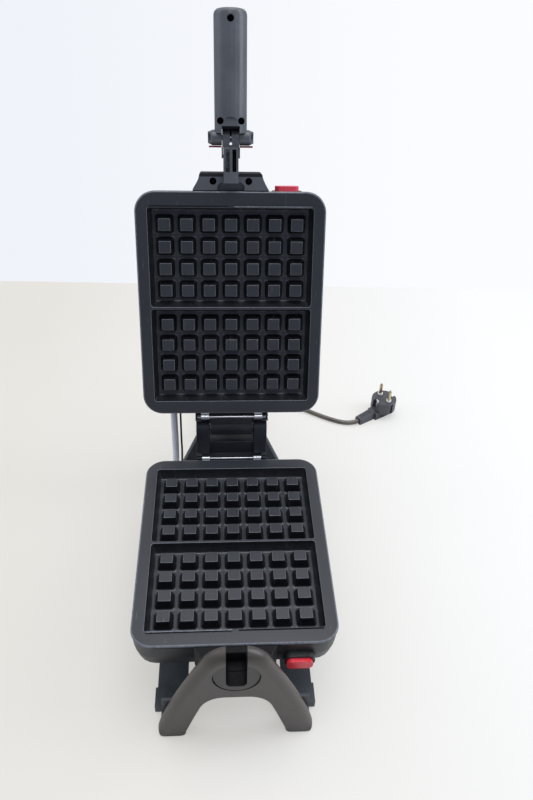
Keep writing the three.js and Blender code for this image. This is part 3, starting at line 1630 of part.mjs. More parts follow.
// The lower half
rotor.add(
  mesh("lower_plate", cookingPlate(), plateCoat, 0.5),
  mesh("lower_shell", unitShell(lowerButtonX), shellBlack, 0.45),
  mesh("lower_reflector", reflector(), aluminium, 0.4, 1),
  mesh("lower_element", element(), heaterGrey, 0.5, 1),
  mesh("thermostat", thermostat(), ceramic, 0.6),
  mesh("lower_button", releaseButton(lowerButtonX, lowerButtonProud), buttonRed, 0.35),
  mesh("lower_plate_rod", plateRod(), brightSteel, 0.25, 1),
  mesh("hinge_fork", hingeFork(), shellBlack, 0.45),
  mesh("hinge_pin", hingePin(), brightSteel, 0.3, 1),
  mesh("rear_axle", rearAxle(), shellBlack, 0.5),
  mesh("axle_clip", axleClip(), brightSteel, 0.4, 1),
  mesh("lower_bracket", lowerBracket(), bracketBlack, 0.5),
  mesh("front_journal", frontJournal(), archGrey, 0.5),
  mesh("conduit", conduit(), brightSteel, 0.3, 1),
  mesh("earth_wire", earthWire(), rubberBlack, 0.6),
);

// The lid, in its closed pose inside a group that is turned open
lid.add(
  turnedOver(mesh("upper_plate", cookingPlate(), plateCoat, 0.5)),
  turnedOver(mesh("upper_shell", unitShell(-upperButtonX), shellBlack, 0.45)),
  turnedOver(mesh("upper_reflector", reflector(), aluminium, 0.4, 1)),
  turnedOver(mesh("upper_element", element(), heaterGrey, 0.5, 1)),
  turnedOver(mesh("upper_button", releaseButton(-upperButtonX, upperButtonProud), buttonRed, 0.35)),
  turnedOver(mesh("upper_plate_rod", plateRod(), brightSteel, 0.25, 1)),
  turnedOver(mesh("upper_bracket", upperBracket(), bracketBlack, 0.5)),
  turnedOver(mesh("bracket_screw_left", bracketScrew(1), brightSteel, 0.4, 1)),
  turnedOver(mesh("bracket_screw_right", bracketScrew(-1), brightSteel, 0.4, 1)),
  mesh("hinge_knuckle", hingeKnuckle(), shellBlack, 0.45),
  mesh("handle_stem", handleStem(), gripGrey, 0.5),
  mesh("fold_release", foldRelease(), buttonRed, 0.4),
  mesh("grip_front", gripHalf(-1), gripGrey, 0.5),
  mesh("grip_back", gripHalf(1), gripGrey, 0.5),
  mesh("fold_pin", foldPin(), brightSteel, 0.3, 1),
);
["top", "left", "right"].forEach((word, i) => {
  lid.add(mesh("grip_screw_" + word, gripScrew(gripScrewPlaces()[i]), brightSteel, 0.4, 1));
});

// The cord and its plug
cord.add(
  mesh("cord_lead_in", straightCord(cordLeadIn()), rubberBlack, 0.6),
  mesh("cord_coil", cordCoil(), rubberBlack, 0.6),
  mesh("cord_lead_out", straightCord(cordLeadOut()), rubberBlack, 0.6),
  mesh("plug_body", plugBody(), rubberBlack, 0.6),
);
for (const [side, word] of [[-1, "left"], [1, "right"]]) {
  cord.add(
    mesh("plug_sleeve_" + word, plugSleeve(side), sleeveWhite, 0.5),
    mesh("plug_pin_" + word, plugPin(side), brass, 0.3, 1),
    mesh("earth_clip_" + word, earthClip(side), brightSteel, 0.4, 1),
  );
}
const coilLength = coilPoints().reduce((sum, p, i, all) => (i ? sum + p.distanceTo(all[i - 1]) : 0), 0);
const cordLength = pathLength(cordLeadIn()) + coilLength + pathLength(cordLeadOut());
console.log("cord length " + cordLength.toFixed(0) + " mm");

// The origin: the middle of the footprint of the machine without its cord, on the table
const reach = new THREE.Box3();
for (const part of [stand, rotor]) {
  part.updateMatrixWorld(true);
  part.traverse((piece) => {
    if (piece.isMesh) reach.expandByObject(piece, true);
  });
}
machine.position.y = -(reach.min.y + reach.max.y) / 2;

export default machine;
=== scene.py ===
# A rotating waffle maker, open on its stand: two plates of square studs, a fold-back handle, a cord behind.
# Metres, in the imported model's frame: +X right, +Y back, +Z up, the table at z = 0.
import math

import bmesh
import bpy
from mathutils import Matrix, Vector


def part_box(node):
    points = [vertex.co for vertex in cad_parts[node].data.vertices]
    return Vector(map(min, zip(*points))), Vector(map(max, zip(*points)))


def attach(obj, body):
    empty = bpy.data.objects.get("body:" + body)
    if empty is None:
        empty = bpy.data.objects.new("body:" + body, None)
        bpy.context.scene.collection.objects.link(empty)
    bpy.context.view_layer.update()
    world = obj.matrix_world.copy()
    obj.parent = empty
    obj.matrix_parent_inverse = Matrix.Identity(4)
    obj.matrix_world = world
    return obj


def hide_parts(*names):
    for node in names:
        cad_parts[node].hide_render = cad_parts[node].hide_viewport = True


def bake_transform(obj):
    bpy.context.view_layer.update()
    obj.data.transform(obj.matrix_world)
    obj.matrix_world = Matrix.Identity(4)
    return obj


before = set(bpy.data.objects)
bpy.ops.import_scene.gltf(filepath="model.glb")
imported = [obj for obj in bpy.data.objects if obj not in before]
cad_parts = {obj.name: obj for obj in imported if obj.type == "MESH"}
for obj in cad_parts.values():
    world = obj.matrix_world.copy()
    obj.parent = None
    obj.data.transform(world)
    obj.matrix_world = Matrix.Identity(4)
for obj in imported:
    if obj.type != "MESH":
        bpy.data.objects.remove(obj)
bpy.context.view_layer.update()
mm = 0.001

# Camera: a photographer's stand about 0.7 m over the table, in front of the arch and looking down
# at the machine. Its place and turn come from the grid of studs, so they are given as they were solved.


def added(name, data):
    """A new object, linked into the scene."""
    made = bpy.data.objects.new(name, data)
    bpy.context.scene.collection.objects.link(made)
    return made


camera = added("camera", bpy.data.cameras.new("camera"))
camera.data.sensor_width = 36
camera.data.lens = 32.784
camera.data.clip_start = 0.02
camera.matrix_world = Matrix((
    (0.99813, 0.008533, -0.06048, -0.01028),
    (-0.05180, 0.642896, -0.76420, -0.54259),
    (0.03236, 0.765904, 0.64214, 0.69780),
    (0, 0, 0, 1),
))
bpy.context.scene.camera = camera
bpy.context.scene.view_settings.view_transform = "Standard"

# Mains cord: black rubber flex, 6.5 mm thick and 1.23 m long, from the tower's relief down to the table.
# It winds in and out of one flat coil behind the machine, then runs in a loose bend to its plug.
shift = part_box("front_arch")[0].y - -151.65 * mm  # from the spin axis's own y to this frame's
flex_radius = 3.25 * mm
relief_exit = Vector((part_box("cord_lead_in")[0].x + flex_radius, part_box("strain_relief")[1].y, 22 * mm))
coil_pitch = 7.3 * mm
coil_turns = 4.25
coil_inner = 28.4 * mm
coil_centre = Vector((2 * mm, 305.15 * mm + shift, 0))
flex_route = []


def coil_point(turn, total):
    """A point of the coil: it winds in on the table, climbs as it turns back, and winds out on top."""
    radius = coil_inner + coil_pitch * abs(turn - total / 2) / math.tau
    climb = min(max((turn - total / 2) / math.pi + 0.5, 0), 1)
    angle = math.pi - turn
    height = flex_radius + climb * coil_pitch
    return coil_centre + Vector((radius * math.cos(angle), radius * math.sin(angle), height))


total_turn = coil_turns * math.tau
coil_start = coil_point(0, total_turn) - Vector((0, 2 * flex_radius, 0))
coil_end = coil_point(total_turn, total_turn) + Vector((2 * flex_radius, 0, 0))
run_in = coil_start.y - relief_exit.y
for back_share, high_share in ((0, 1), (0.07, 1), (0.25, 0.9), (0.5, 0.5), (0.75, 0.1), (0.93, 0)):
    height = flex_radius + high_share * (relief_exit.z - flex_radius)
    flex_route.append(Vector((coil_start.x, relief_exit.y + back_share * run_in, height)))
flex_route.append(coil_start)
flex_route += [coil_point(total_turn * i / 102, total_turn) for i in range(103)]
flex_route.append(coil_end)
plug_centre = Vector((224 * mm, 318.15 * mm + shift, 0))
plug_heading = math.radians(210.3)
plug_out = Vector((math.cos(plug_heading), math.sin(plug_heading), 0))
boot_end = 46.1 * mm
boot_tip = 4.6 * mm
flex_end = plug_centre + plug_out * boot_end + Vector((0, 0, boot_tip))
lead_out_shares = (
    (0.05, 0.002, 0.9), (0.12, 0.02, 0.45), (0.19, 0.047, 0.08), (0.28, 0.11, 0.02), (0.377, 0.207, 0.002),
    (0.45, 0.305, 0), (0.52, 0.41, 0), (0.594, 0.54, 0), (0.664, 0.686, 0), (0.734, 0.825, 0), (0.805, 0.945, 0),
    (0.87, 1.025, 0), (0.93, 1.05, 0.02),
)
for along_share, forward_share, high_share in lead_out_shares:
    flex_route.append(Vector((
        coil_end.x + along_share * (flex_end.x - coil_end.x),
        coil_end.y + forward_share * (flex_end.y - coil_end.y),
        flex_radius + high_share * (coil_end.z - flex_radius),
    )))
flex_route.append(flex_end + plug_out * flex_radius - Vector((0, 0, 0.25 * mm)))
flex_route.append(flex_end)


def smooth_line(name, places, resolution):
    """A curve that bends smoothly through these places."""
    line = bpy.data.curves.new(name, "CURVE")
    line.dimensions = "3D"
    line.resolution_u = resolution
    spline = line.splines.new("BEZIER")
    spline.bezier_points.add(len(places) - 1)
    for point, place in zip(spline.bezier_points, places):
        point.co = place
        point.handle_left_type = point.handle_right_type = "AUTO"
    return added(name, line)


flex = smooth_line("flex", flex_route, 5)
flex.data.bevel_depth = flex_radius
flex.data.bevel_resolution = 4
flex.data.use_fill_caps = True


def linear(code):
    """An sRGB hex colour as the linear values that a socket takes."""
    shares = [int(code[i:i + 2], 16) / 255 for i in (1, 3, 5)]
    return [c / 12.92 if c <= 0.04045 else ((c + 0.055) / 1.055) ** 2.4 for c in shares] + [1]


def feed(tree, node, inputs):
    """Links or sets a node's inputs, by name or number. A node stands for its first output in use."""
    for key, value in dict(inputs).items():
        if str(value)[0] == "#":
            value = linear(value)
        if isinstance(value, bpy.types.Node):
            value = next(output for output in value.outputs if output.enabled)
        if isinstance(value, bpy.types.NodeSocket):
            tree.links.new(value, node.inputs[key])
        else:
            node.inputs[key].default_value = value


def put(tree, kind, inputs=(), **settings):
    """Adds a node of this kind to a tree, with its settings and inputs."""
    families = ("GeometryNode", "ShaderNode", "") if tree.type == "GEOMETRY" else ("ShaderNode",)
    made = tree.nodes.new(next(family + kind for family in families if hasattr(bpy.types, family + kind)))
    if kind == "Mix":  # only colours are mixed here
        made.data_type = "RGBA"
    for key, value in settings.items():
        setattr(made, key, value)
    feed(tree, made, inputs)
    return made


def new_finish(name):
    """A material, its tree, its surface node, and the place on the piece."""
    made = bpy.data.materials.new(name)
    made.use_nodes = True
    tree = made.node_tree
    return made, tree, tree.nodes["Principled BSDF"], put(tree, "TexCoord").outputs["Object"]


def moulding(name, dark, light, grain, grain_height, roughness, spread=0.08, gloss=0.5):
    """Moulded plastic or rubber: a spark-eroded grain in mm, a slow change of shade, and a varied sheen."""
    made, tree, surface, place = new_finish(name)
    slow = put(tree, "TexNoise", {"Vector": place, "Scale": 28, "Detail": 3})
    speck = put(tree, "TexNoise", {"Vector": place, "Scale": 1 / (grain * mm), "Detail": 2, "Roughness": 0.6})
    blend = put(tree, "Math", {0: slow, 1: speck}, operation="MULTIPLY")
    shade = put(tree, "MapRange", {"Value": blend, "From Min": 0.12, "From Max": 0.42})
    colour = put(tree, "Mix", {0: shade, 6: dark, 7: light})
    sheen = put(tree, "MapRange", {
        "Value": slow, "From Min": 0.3, "From Max": 0.7, "To Min": roughness - spread, "To Max": roughness + spread,
    })
    grit = put(tree, "Bump", {"Height": speck, "Distance": grain_height * mm, "Strength": 0.6})
    feed(tree, surface, {
        "Base Color": colour, "Roughness": sheen, "Normal": grit, "IOR": 1.5, "Specular IOR Level": gloss,
    })
    return made


def dress(piece, carrier, slot, *finishes):
    """Gives a piece its materials and the body that it rides on. The slot is not used."""
    for finish in finishes:
        piece.data.materials.append(finish)
    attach(piece, carrier)


# Vulcanised rubber: matt with a soft sheen, a little brown and dusty where it has lain on tables.
flex_rubber = moulding("vulcanised_rubber", "#443e36", "#6a6155", 0.7, 0.02, 0.3, 0.06, 0.8)
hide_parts("cord_lead_in", "cord_coil", "cord_lead_out")
dress(flex, "stand", "cord_rubber", flex_rubber)

# Plates: cast aluminium pans, the same part in both halves, with 56 square studs that taper to their tops.
# Rounded feet turn each channel into a smooth valley; the cooking side is coated and the underside is bare metal,
# though here the coating covers the whole pan and only the lugs and catch are bare.
stud_pitch = 22.5 * mm
stud_columns = 7
stud_rows = 4
block_gap = 36.5 * mm
floor_level = -11.7 * mm
stud_level = -2 * mm
floor_half_width = 80 * mm
divider_foot = 5.4 * mm
floor_far = 100.15 * mm
wall_run = 4.2 * mm
plate_half_width = 96.7 * mm
plate_half_depth = 119.15 * mm
rim_corner = 21 * mm
rim_thickness = 4 * mm
front_wall_share = 0.68


def rounded_ring(half_x, half_y, corner, z, middle=(0, 0), steps=6):
    """Points of a rounded rectangle, from the right side anticlockwise."""
    points = []
    for quarter, (sx, sy) in enumerate(((1, 1), (-1, 1), (-1, -1), (1, -1))):
        for i in range(steps + 1):
            angle = (quarter + i / steps) * math.pi / 2
            points.append((
                middle[0] + sx * (half_x - corner) + corner * math.cos(angle),
                middle[1] + sy * (half_y - corner) + corner * math.sin(angle),
                z,
            ))
    return points


def join(mesh, low, high, inward=False):
    """Joins two rings of equally many vertices with quads."""
    for i in range(len(low)):
        j = (i + 1) % len(low)
        corners = (low[i], low[j], high[j], high[i])
        mesh.faces.new(corners[::-1] if inward else corners)


def skin(mesh, rings, inward=False):
    """Joins rings of equally many points with quads, and returns the rings' vertices."""
    made = [[mesh.verts.new(point) for point in ring] for ring in rings]
    for low, high in zip(made, made[1:]):
        join(mesh, low, high, inward)
    return made


def closed(mesh, rings):
    """A skin over rings of points, with a face at each end."""
    made = skin(mesh, rings)
    mesh.faces.new(made[0][::-1])
    mesh.faces.new(made[-1])


def loop(ring):
    """The edges between a ring's own vertices."""
    return {edge for vertex in ring for edge in vertex.link_edges if edge.other_vert(vertex) in ring}


def mark(rings, layer, values):
    """Writes a value on all vertices of each ring."""
    for ring, value in zip(rings, values):
        for vertex in ring:
            vertex[layer] = value


def object_from(mesh, name, smooth=40):
    """A new object from a bmesh, smooth where its faces meet at a small angle."""
    data = bpy.data.meshes.new(name)
    mesh.to_mesh(data)
    mesh.free()
    data.shade_smooth()
    data.set_sharp_from_angle(angle=math.radians(smooth))
    return added(name, data)


def made_plain(piece):
    """Applies what an object's modifiers make of it, as one plain mesh."""
    depsgraph = bpy.context.evaluated_depsgraph_get()
    result = bpy.data.meshes.new_from_object(
        piece.evaluated_get(depsgraph), preserve_all_data_layers=True, depsgraph=depsgraph,
    )
    piece.modifiers.clear()
    piece.data = result
    return piece


# One stud in its cell of floor, from the cell's square edge up to the stud's top.
stud_cell = bmesh.new()
edge_highlight_and_wear_layer = stud_cell.verts.layers.float.new("edge")
steep_side = stud_cell.verts.layers.float.new("steep")
stud_bend = math.pi / 2 - math.atan2(2.9, 9.7)
foot_round, foot_corner = 1.7 * mm, 2.9 * mm
top_round, top_corner = 0.5 * mm, 0.8 * mm
foot_centre = (9.4 * mm + foot_round * math.tan(stud_bend / 2), floor_level + foot_round)
top_centre = (6.0 * mm - top_round * math.tan(stud_bend / 2), stud_level - top_round)
stud_rings = []
for share in (0, 0.25, 0.5, 0.75, 1):
    angle = share * stud_bend
    stud_rings.append((foot_centre[0] - foot_round * math.sin(angle), foot_corner,
                       foot_centre[1] - foot_round * math.cos(angle), 0.25 * math.sin(math.pi * share)))
for share in (1, 0.66, 0.33, 0):
    angle = share * stud_bend
    stud_rings.append((top_centre[0] + top_round * math.sin(angle), top_corner,
                       top_centre[1] + top_round * math.cos(angle), int(0 < share < 1)))
foot_half = stud_rings[0][0]
border = []
for x, y, z in rounded_ring(foot_half, foot_half, foot_corner, floor_level):
    border.append((x * stud_pitch / 2 / max(abs(x), abs(y)), y * stud_pitch / 2 / max(abs(x), abs(y)), z))
made = skin(stud_cell, [border] + [rounded_ring(half, half, corner, z) for half, corner, z, _ in stud_rings])
# Edge wear and painted highlight on the foot fillet and the top's rounding.
mark(made[1:], edge_highlight_and_wear_layer, [edge_wear_and_highlight for _, _, _, edge_wear_and_highlight in stud_rings])
# Painted shade on the studs' steep sides.
mark(made[5:7], steep_side, (1, 1))
stud_cell.faces.new(made[-1])
stud = object_from(stud_cell, "stud")


def growth(name, **inputs):
    """A Geometry Nodes tree with these inputs and a finish, and what its input node gives."""
    tree = bpy.data.node_groups.new(name, "GeometryNodeTree")
    tree.interface.new_socket("Geometry", in_out="OUTPUT", socket_type="NodeSocketGeometry")
    for label, kind in {"Geometry": "Geometry", **inputs, "Finish": "Material"}.items():
        tree.interface.new_socket(label, in_out="INPUT", socket_type="NodeSocket" + kind)
    return tree, put(tree, "NodeGroupInput").outputs


def end_growth(tree, given, shape, weld=0):
    """Ends a tree: real geometry, welded where its copies meet, in its finish."""
    real = put(tree, "RealizeInstances", {0: shape})
    if weld:
        real = put(tree, "MergeByDistance", {"Geometry": real, "Distance": weld})
    put(tree, "NodeGroupOutput", {0: put(tree, "SetMaterial", {"Geometry": real, "Material": given["Finish"]})})


# The studs of one block stand on a grid, in columns and rows that keep the pitch.
stud_field, given = growth("stud_field", Stud="Object", Pitch="Float", Columns="Int", Rows="Int", Middle="Float")
spans = []
for count in ("Columns", "Rows"):
    fewer = put(stud_field, "Math", {0: given[count], 1: 1.0}, operation="SUBTRACT")
    spans.append(put(stud_field, "Math", {0: fewer, 1: given["Pitch"]}, operation="MULTIPLY"))
grid = put(stud_field, "MeshGrid", {
    "Size X": spans[0], "Size Y": spans[1], "Vertices X": given["Columns"], "Vertices Y": given["Rows"],
})
offset = put(stud_field, "CombineXYZ", {"Y": given["Middle"]})
block_grid = put(stud_field, "Transform", {"Geometry": grid, "Translation": offset})
one_stud = put(stud_field, "ObjectInfo", {"Object": given["Stud"]}).outputs["Geometry"]
studs = put(stud_field, "InstanceOnPoints", {"Points": block_grid, "Instance": one_stud})
end_growth(stud_field, given, studs, 0.01 * mm)


def grown(tree, name, **values):
    """A plain mesh that a Geometry Nodes tree makes from these inputs."""
    piece = added(name, bpy.data.meshes.new(name))
    modifier = piece.modifiers.new("grown", "NODES")
    modifier.node_group = tree
    for item in tree.interface.items_tree:
        if item.in_out == "INPUT" and item.name in values:
            modifier[item.identifier] = values[item.name]
    return made_plain(piece)


def fill_flat(mesh, edges):
    """Fills the flat region between closed edge loops, face up."""
    filled = bmesh.ops.triangle_fill(mesh, use_beauty=True, use_dissolve=False, edges=list(edges))
    for face in filled["geom"]:
        if isinstance(face, bmesh.types.BMFace) and face.normal.z < 0:
            face.normal_flip()


def cooking_plate(name):
    """The coated pan in its closed, level place under the spin axis's plane."""
    mesh = bmesh.new()
    edge = mesh.verts.layers.float.new("edge")
    steep = mesh.verts.layers.float.new("steep")
    # A pocket's wall as rings: how far out from the floor's edge, the height, and the edge wear with painted
    # highlight.
    wall = []
    wall_bend = math.pi / 2 - math.atan2(4.2, 11.7)
    for share in (0, 0.33, 0.66, 1):
        angle = share * wall_bend
        inset = foot_round * math.tan(wall_bend / 2) - foot_round * math.sin(angle)
        wall.append((-inset, floor_level + foot_round - foot_round * math.cos(angle), 0.15))
    lip = 0.6 * mm
    for share in (1, 0.66, 0.33, 0):
        angle = share * wall_bend
        out = wall_run + lip * math.tan(wall_bend / 2) - lip * math.sin(angle)
        wall.append((out, lip * math.cos(angle) - lip, int(0 < share < 1)))
    top = set()
    half_y = (floor_far - divider_foot) / 2
    for side in (-1, 1):
        field = grown(stud_field, "field", Stud=stud, Pitch=stud_pitch, Columns=stud_columns, Rows=stud_rows,
                      Middle=side * (block_gap / 2 + 1.5 * stud_pitch), Finish=coating)
        known = len(mesh.verts)
        mesh.from_mesh(field.data)
        bpy.data.objects.remove(field)
        mesh.verts.ensure_lookup_table()
        rim_of_field = {e for v in mesh.verts[known:] for e in v.link_edges if e.is_boundary}
        centre = (0, side * (divider_foot + floor_far) / 2)
        rings = [rounded_ring(floor_half_width + grow, half_y + grow, 1.6 * mm + max(grow, 0) / 3, z, centre)
                 for grow, z, _ in wall]
        rings = [[(x, y if y > -floor_far else (y + floor_far) * front_wall_share - floor_far, z) for x, y, z in ring]
                 for ring in rings]
        made = skin(mesh, rings, inward=True)
        mark(made, edge, [edge_wear_and_highlight for _, _, edge_wear_and_highlight in wall])
        # Painted shade on the pocket walls' steep faces.
        mark(made[3:5], steep, (1, 1))
        fill_flat(mesh, loop(made[0]) | rim_of_field)
        top |= loop(made[-1])
    # The rim's outer edge in the same way, from its rounded top down to its flat underside.
    bevel = 1.9 * mm
    outer = []
    for share in (0, 0.25, 0.5, 0.75, 1):
        angle = share * math.pi / 2
        outer.append((bevel * (1 - math.sin(angle)), bevel * (math.cos(angle) - 1), int(0.2 < share < 0.9)))
    outer += [
        (0, bevel - rim_thickness, 0), (bevel * 0.3, bevel * 0.3 - rim_thickness, 0), (bevel, -rim_thickness, 0),
    ]
    made = skin(mesh, [
        rounded_ring(plate_half_width - inset, plate_half_depth - inset, rim_corner - inset, z, steps=10)
        for inset, z, _ in outer
    ], inward=True)
    # Edge wear and painted highlight along the rim's rounded outer edge.
    mark(made, edge, [edge_wear_and_highlight for _, _, edge_wear_and_highlight in outer])
    top |= loop(made[0])
    # The left half has a tongue in front and the right one a groove, which takes the other plate's tongue.
    far, near, wide, strip_y = 82.4 * mm, 3 * mm, 1.5 * mm, -104.25 * mm
    strips = []
    for side, profile in ((-1, ((0, 0), (0, 0.1), (0, 1.1), (-0.12, 1.4), (-0.35, 1.5))),
                          (1, ((0.03, -1.7), (0.04, -0.4), (0.05, -0.1), (0.12, 0)))):
        strips.append(skin(mesh, [
            rounded_ring((far - near) / 2 + grow * mm, wide / 2 + grow * mm, 0.5 * mm, z * mm,
                         (side * (far + near) / 2, strip_y), steps=2) for grow, z in profile
        ], inward=side > 0))
    tongue, groove = strips
    mesh.faces.new(tongue[-1])
    mesh.faces.new(groove[0])
    # Painted highlight on the tongue's rounded top and the groove's edge; painted shade on the tongue's front face.
    seen = tongue[1:] + groove[2:3]
    mark(seen, edge, (0, 0, 1, 1, 0.7))
    mark(seen, steep, (1, 1, 0, 0, 0))
    fill_flat(mesh, top | loop(tongue[0]) | loop(groove[-1]))
    under = skin(mesh, [rounded_ring(half_x * mm, half_y * mm, 3 * mm, z * mm, steps=10)
                        for half_x, half_y, z in ((87.2, 107.35, -4), (83, 103.15, -14.7))], inward=True)
    join(mesh, made[-1], under[0], inward=True)
    mesh.faces.new(under[-1][::-1])
    piece = object_from(mesh, name, 34)
    piece.modifiers.new("even", "WEIGHTED_NORMAL").keep_sharp = True
    return made_plain(piece)


# Non-stick coating on cast aluminium: dark blue-grey and satin, with a fine sprayed orange peel. Rounded edges and
# foot fillets are paler, partly as thin, worn coating and partly as painted highlight; painted shade darkens the
# steep sides. A few specks of old batter and short hair scratches mark the rim.
coating, tree, surface, place = new_finish("nonstick_coated_aluminium")
slow = put(tree, "TexNoise", {"Vector": place, "Scale": 14, "Detail": 4, "Roughness": 0.6})
peel = put(tree, "TexNoise", {"Vector": place, "Scale": 900, "Detail": 2})
body = put(tree, "Mix", {0: slow, 6: "#292b2f", 7: "#33363b"})
# Painted shade: the steep attribute darkens the coating to near-black on stud sides, pocket walls and the tongue's
# front face.
side = put(tree, "Attribute", attribute_name="steep").outputs["Fac"]
painted_side_shade = put(tree, "Mix", {0: side, 6: body, 7: "#0f1013"})
# Painted highlight, partly real wear: the edge attribute pales the coating, in patches, on rounded edges and fillets.
edge_wear_and_highlight = put(tree, "Attribute", attribute_name="edge").outputs["Fac"]
patchy = put(tree, "TexNoise", {"Vector": place, "Scale": 320, "Detail": 3})
worn_and_highlighted_edges = put(tree, "Math", {0: edge_wear_and_highlight, 1: patchy}, operation="MULTIPLY")
rubbed_and_highlighted = put(tree, "Mix", {0: worn_and_highlighted_edges, 6: painted_side_shade, 7: "#858a92"})
crumbs = put(tree, "TexVoronoi", {"Vector": place, "Scale": 150, "Randomness": 1})
small_crumbs = put(tree, "MapRange", {
    "Value": crumbs, "From Min": 0.045, "From Max": 0.075, "To Min": 1, "To Max": 0,
})
some = put(tree, "Math", {0: slow, 1: 0.56}, operation="GREATER_THAN")
few_crumbs = put(tree, "Math", {0: small_crumbs, 1: some}, operation="MULTIPLY")
stretched = put(tree, "Mapping", {"Vector": place, "Scale": (900, 60, 60), "Rotation": (0, 0, 0.5)})
hair = put(tree, "TexNoise", {"Vector": stretched, "Scale": 1, "Detail": 1})
hairs = put(tree, "MapRange", {"Value": hair, "From Min": 0.74, "From Max": 0.78})
marks = put(tree, "Math", {0: few_crumbs, 1: hairs}, operation="MAXIMUM")
faint_marks = put(tree, "Math", {0: marks, 1: 0.3}, operation="MULTIPLY")
marked = put(tree, "Mix", {0: faint_marks, 6: rubbed_and_highlighted, 7: "#8a8a86"})
sheen = put(tree, "MapRange", {"Value": slow, "To Min": 0.26, "To Max": 0.4})
pebbled = put(tree, "Bump", {"Height": peel, "Distance": 0.03 * mm, "Strength": 0.5})
feed(tree, surface, {"Base Color": marked, "Roughness": sheen, "Normal": pebbled, "IOR": 1.45})


def metal(name, code, roughness, streak, along=(1, 1, 1), strength=0.3):
    """Bare metal: its own colour, with a fine lengthwise grain, in mm, in its shine."""
    made, tree, surface, place = new_finish(name)
    grain = put(tree, "Mapping", {"Vector": place, "Scale": [share / (streak * mm) for share in along]})
    fine = put(tree, "TexNoise", {"Vector": grain, "Scale": 1, "Detail": 3})
    slow = put(tree, "TexNoise", {"Vector": place, "Scale": 90, "Detail": 2})
    dull = put(tree, "Mix", {0: slow, 6: code, 7: [c * 0.72 for c in linear(code)[:3]] + [1]})
    sheen = put(tree, "MapRange", {"Value": fine, "To Min": roughness * 0.6, "To Max": roughness * 1.4})
    scored = put(tree, "Bump", {"Height": fine, "Distance": 0.02 * mm, "Strength": strength})
    feed(tree, surface, {"Base Color": dull, "Roughness": sheen, "Normal": scored, "Metallic": 1})
    return made


# Bare cast aluminium of a plate's lugs and catch: pale, softly shining, a little uneven from the die.
bare_aluminium = metal("bare_cast_aluminium", "#d4d6d8", 0.34, 0.5)
axis_height = 103.5 * mm
open_angle = math.radians(-109.2)
lid_pivot = Vector((0, 145.95 * mm, 27.4 * mm))
to_frame = Matrix.Translation((0, shift, axis_height))
turned_over = Matrix.Translation((0, 0, 0.4 * mm)) @ Matrix.Rotation(math.pi, 4, "Y")
opened = Matrix.Translation(lid_pivot) @ Matrix.Rotation(open_angle, 4, "X") @ Matrix.Translation(-lid_pivot)
halves = (("lower", "rotor", to_frame), ("upper", "lid", to_frame @ opened @ turned_over))


def rounded(piece, width, segments, angle=30, miter="MITER_SHARP", even=True):
    """Rounds a piece's edges and evens the shading of its flats, as one plain mesh."""
    rounding = piece.modifiers.new("rounding", "BEVEL")
    rounding.width = width
    rounding.segments = segments
    rounding.limit_method = "ANGLE"
    rounding.angle_limit = math.radians(angle)
    rounding.miter_outer = miter
    if even:
        piece.modifiers.new("even", "WEIGHTED_NORMAL").keep_sharp = True
    return made_plain(piece)


def lugs_and_catch(name):
    """Two hooks behind the plate that drop over its rod, and the tab at the front that the button holds."""
    mesh = bmesh.new()
    rod_y, rod_z = 124.75, -3.6
    outline = [(119.45, -5.9), (rod_y - 1.8, -5.9)]
    outline += [(rod_y - 1.8 * math.cos(a), rod_z + 1.8 * math.sin(a)) for a in [math.pi * i / 6 for i in range(7)]]
    outline += [(rod_y + 1.8, -5.9), (rod_y + 2.7, -5.9)]
    outline += [(rod_y + 3.2 * math.cos(a), rod_z + 3.2 * math.sin(a))
                for a in [math.radians(-20 + 20 * i) for i in range(9)]]
    outline += [(rod_y - 3.4, -3.4), (117.6, -3.2), (117.6, -4.6), (119.45, -5)]
    for middle in (-29.7, 29.7):
        closed(mesh, [[((middle + aside) * mm, y * mm, z * mm) for y, z in outline] for aside in (-4.6, 4.6)])
    closed(mesh, [rounded_ring(6 * mm, 1.2 * mm, 0.6 * mm, z * mm, (59 * mm, -108.55 * mm), steps=2)
                  for z in (-13, -4.1)])
    bmesh.ops.recalc_face_normals(mesh, faces=mesh.faces)
    return rounded(object_from(mesh, name, 30), 0.9 * mm, 3, even=False)


for word, carrier, placed in halves:
    plate = cooking_plate(word + "_pan")
    lugs = lugs_and_catch(word + "_pan_lugs")
    for piece, finish in ((plate, coating), (lugs, bare_aluminium)):
        piece.data.transform(placed)
        dress(piece, carrier, "plate_coating", finish)
    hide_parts(word + "_plate")
bpy.data.objects.remove(stud)

# Drawn steel rods and pins: bright, with faint drawing lines along them. One rod behind each plate holds
# its lugs; a thicker pin joins fork and knuckle; a short one joins the grip to its stem.
bright_rod = metal("bright_drawn_steel", "#d9dadc", 0.2, 0.2, (0.02, 1, 1))


def circle(radius, sides):
    """Points of a circle round the origin, in pairs."""
    return [(radius * math.cos(math.tau * i / sides), radius * math.sin(math.tau * i / sides)) for i in range(sides)]


def solid(name, rings, smooth=40):
    """A closed piece through rings of points, its faces turned outwards."""
    mesh = bmesh.new()
    closed(mesh, rings)
    bmesh.ops.recalc_face_normals(mesh, faces=mesh.faces)
    return object_from(mesh, name, smooth)


def middle_of(node_name):
    """The middle of a solid's box."""
    return [(low + high) / 2 for low, high in zip(*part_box(node_name))]


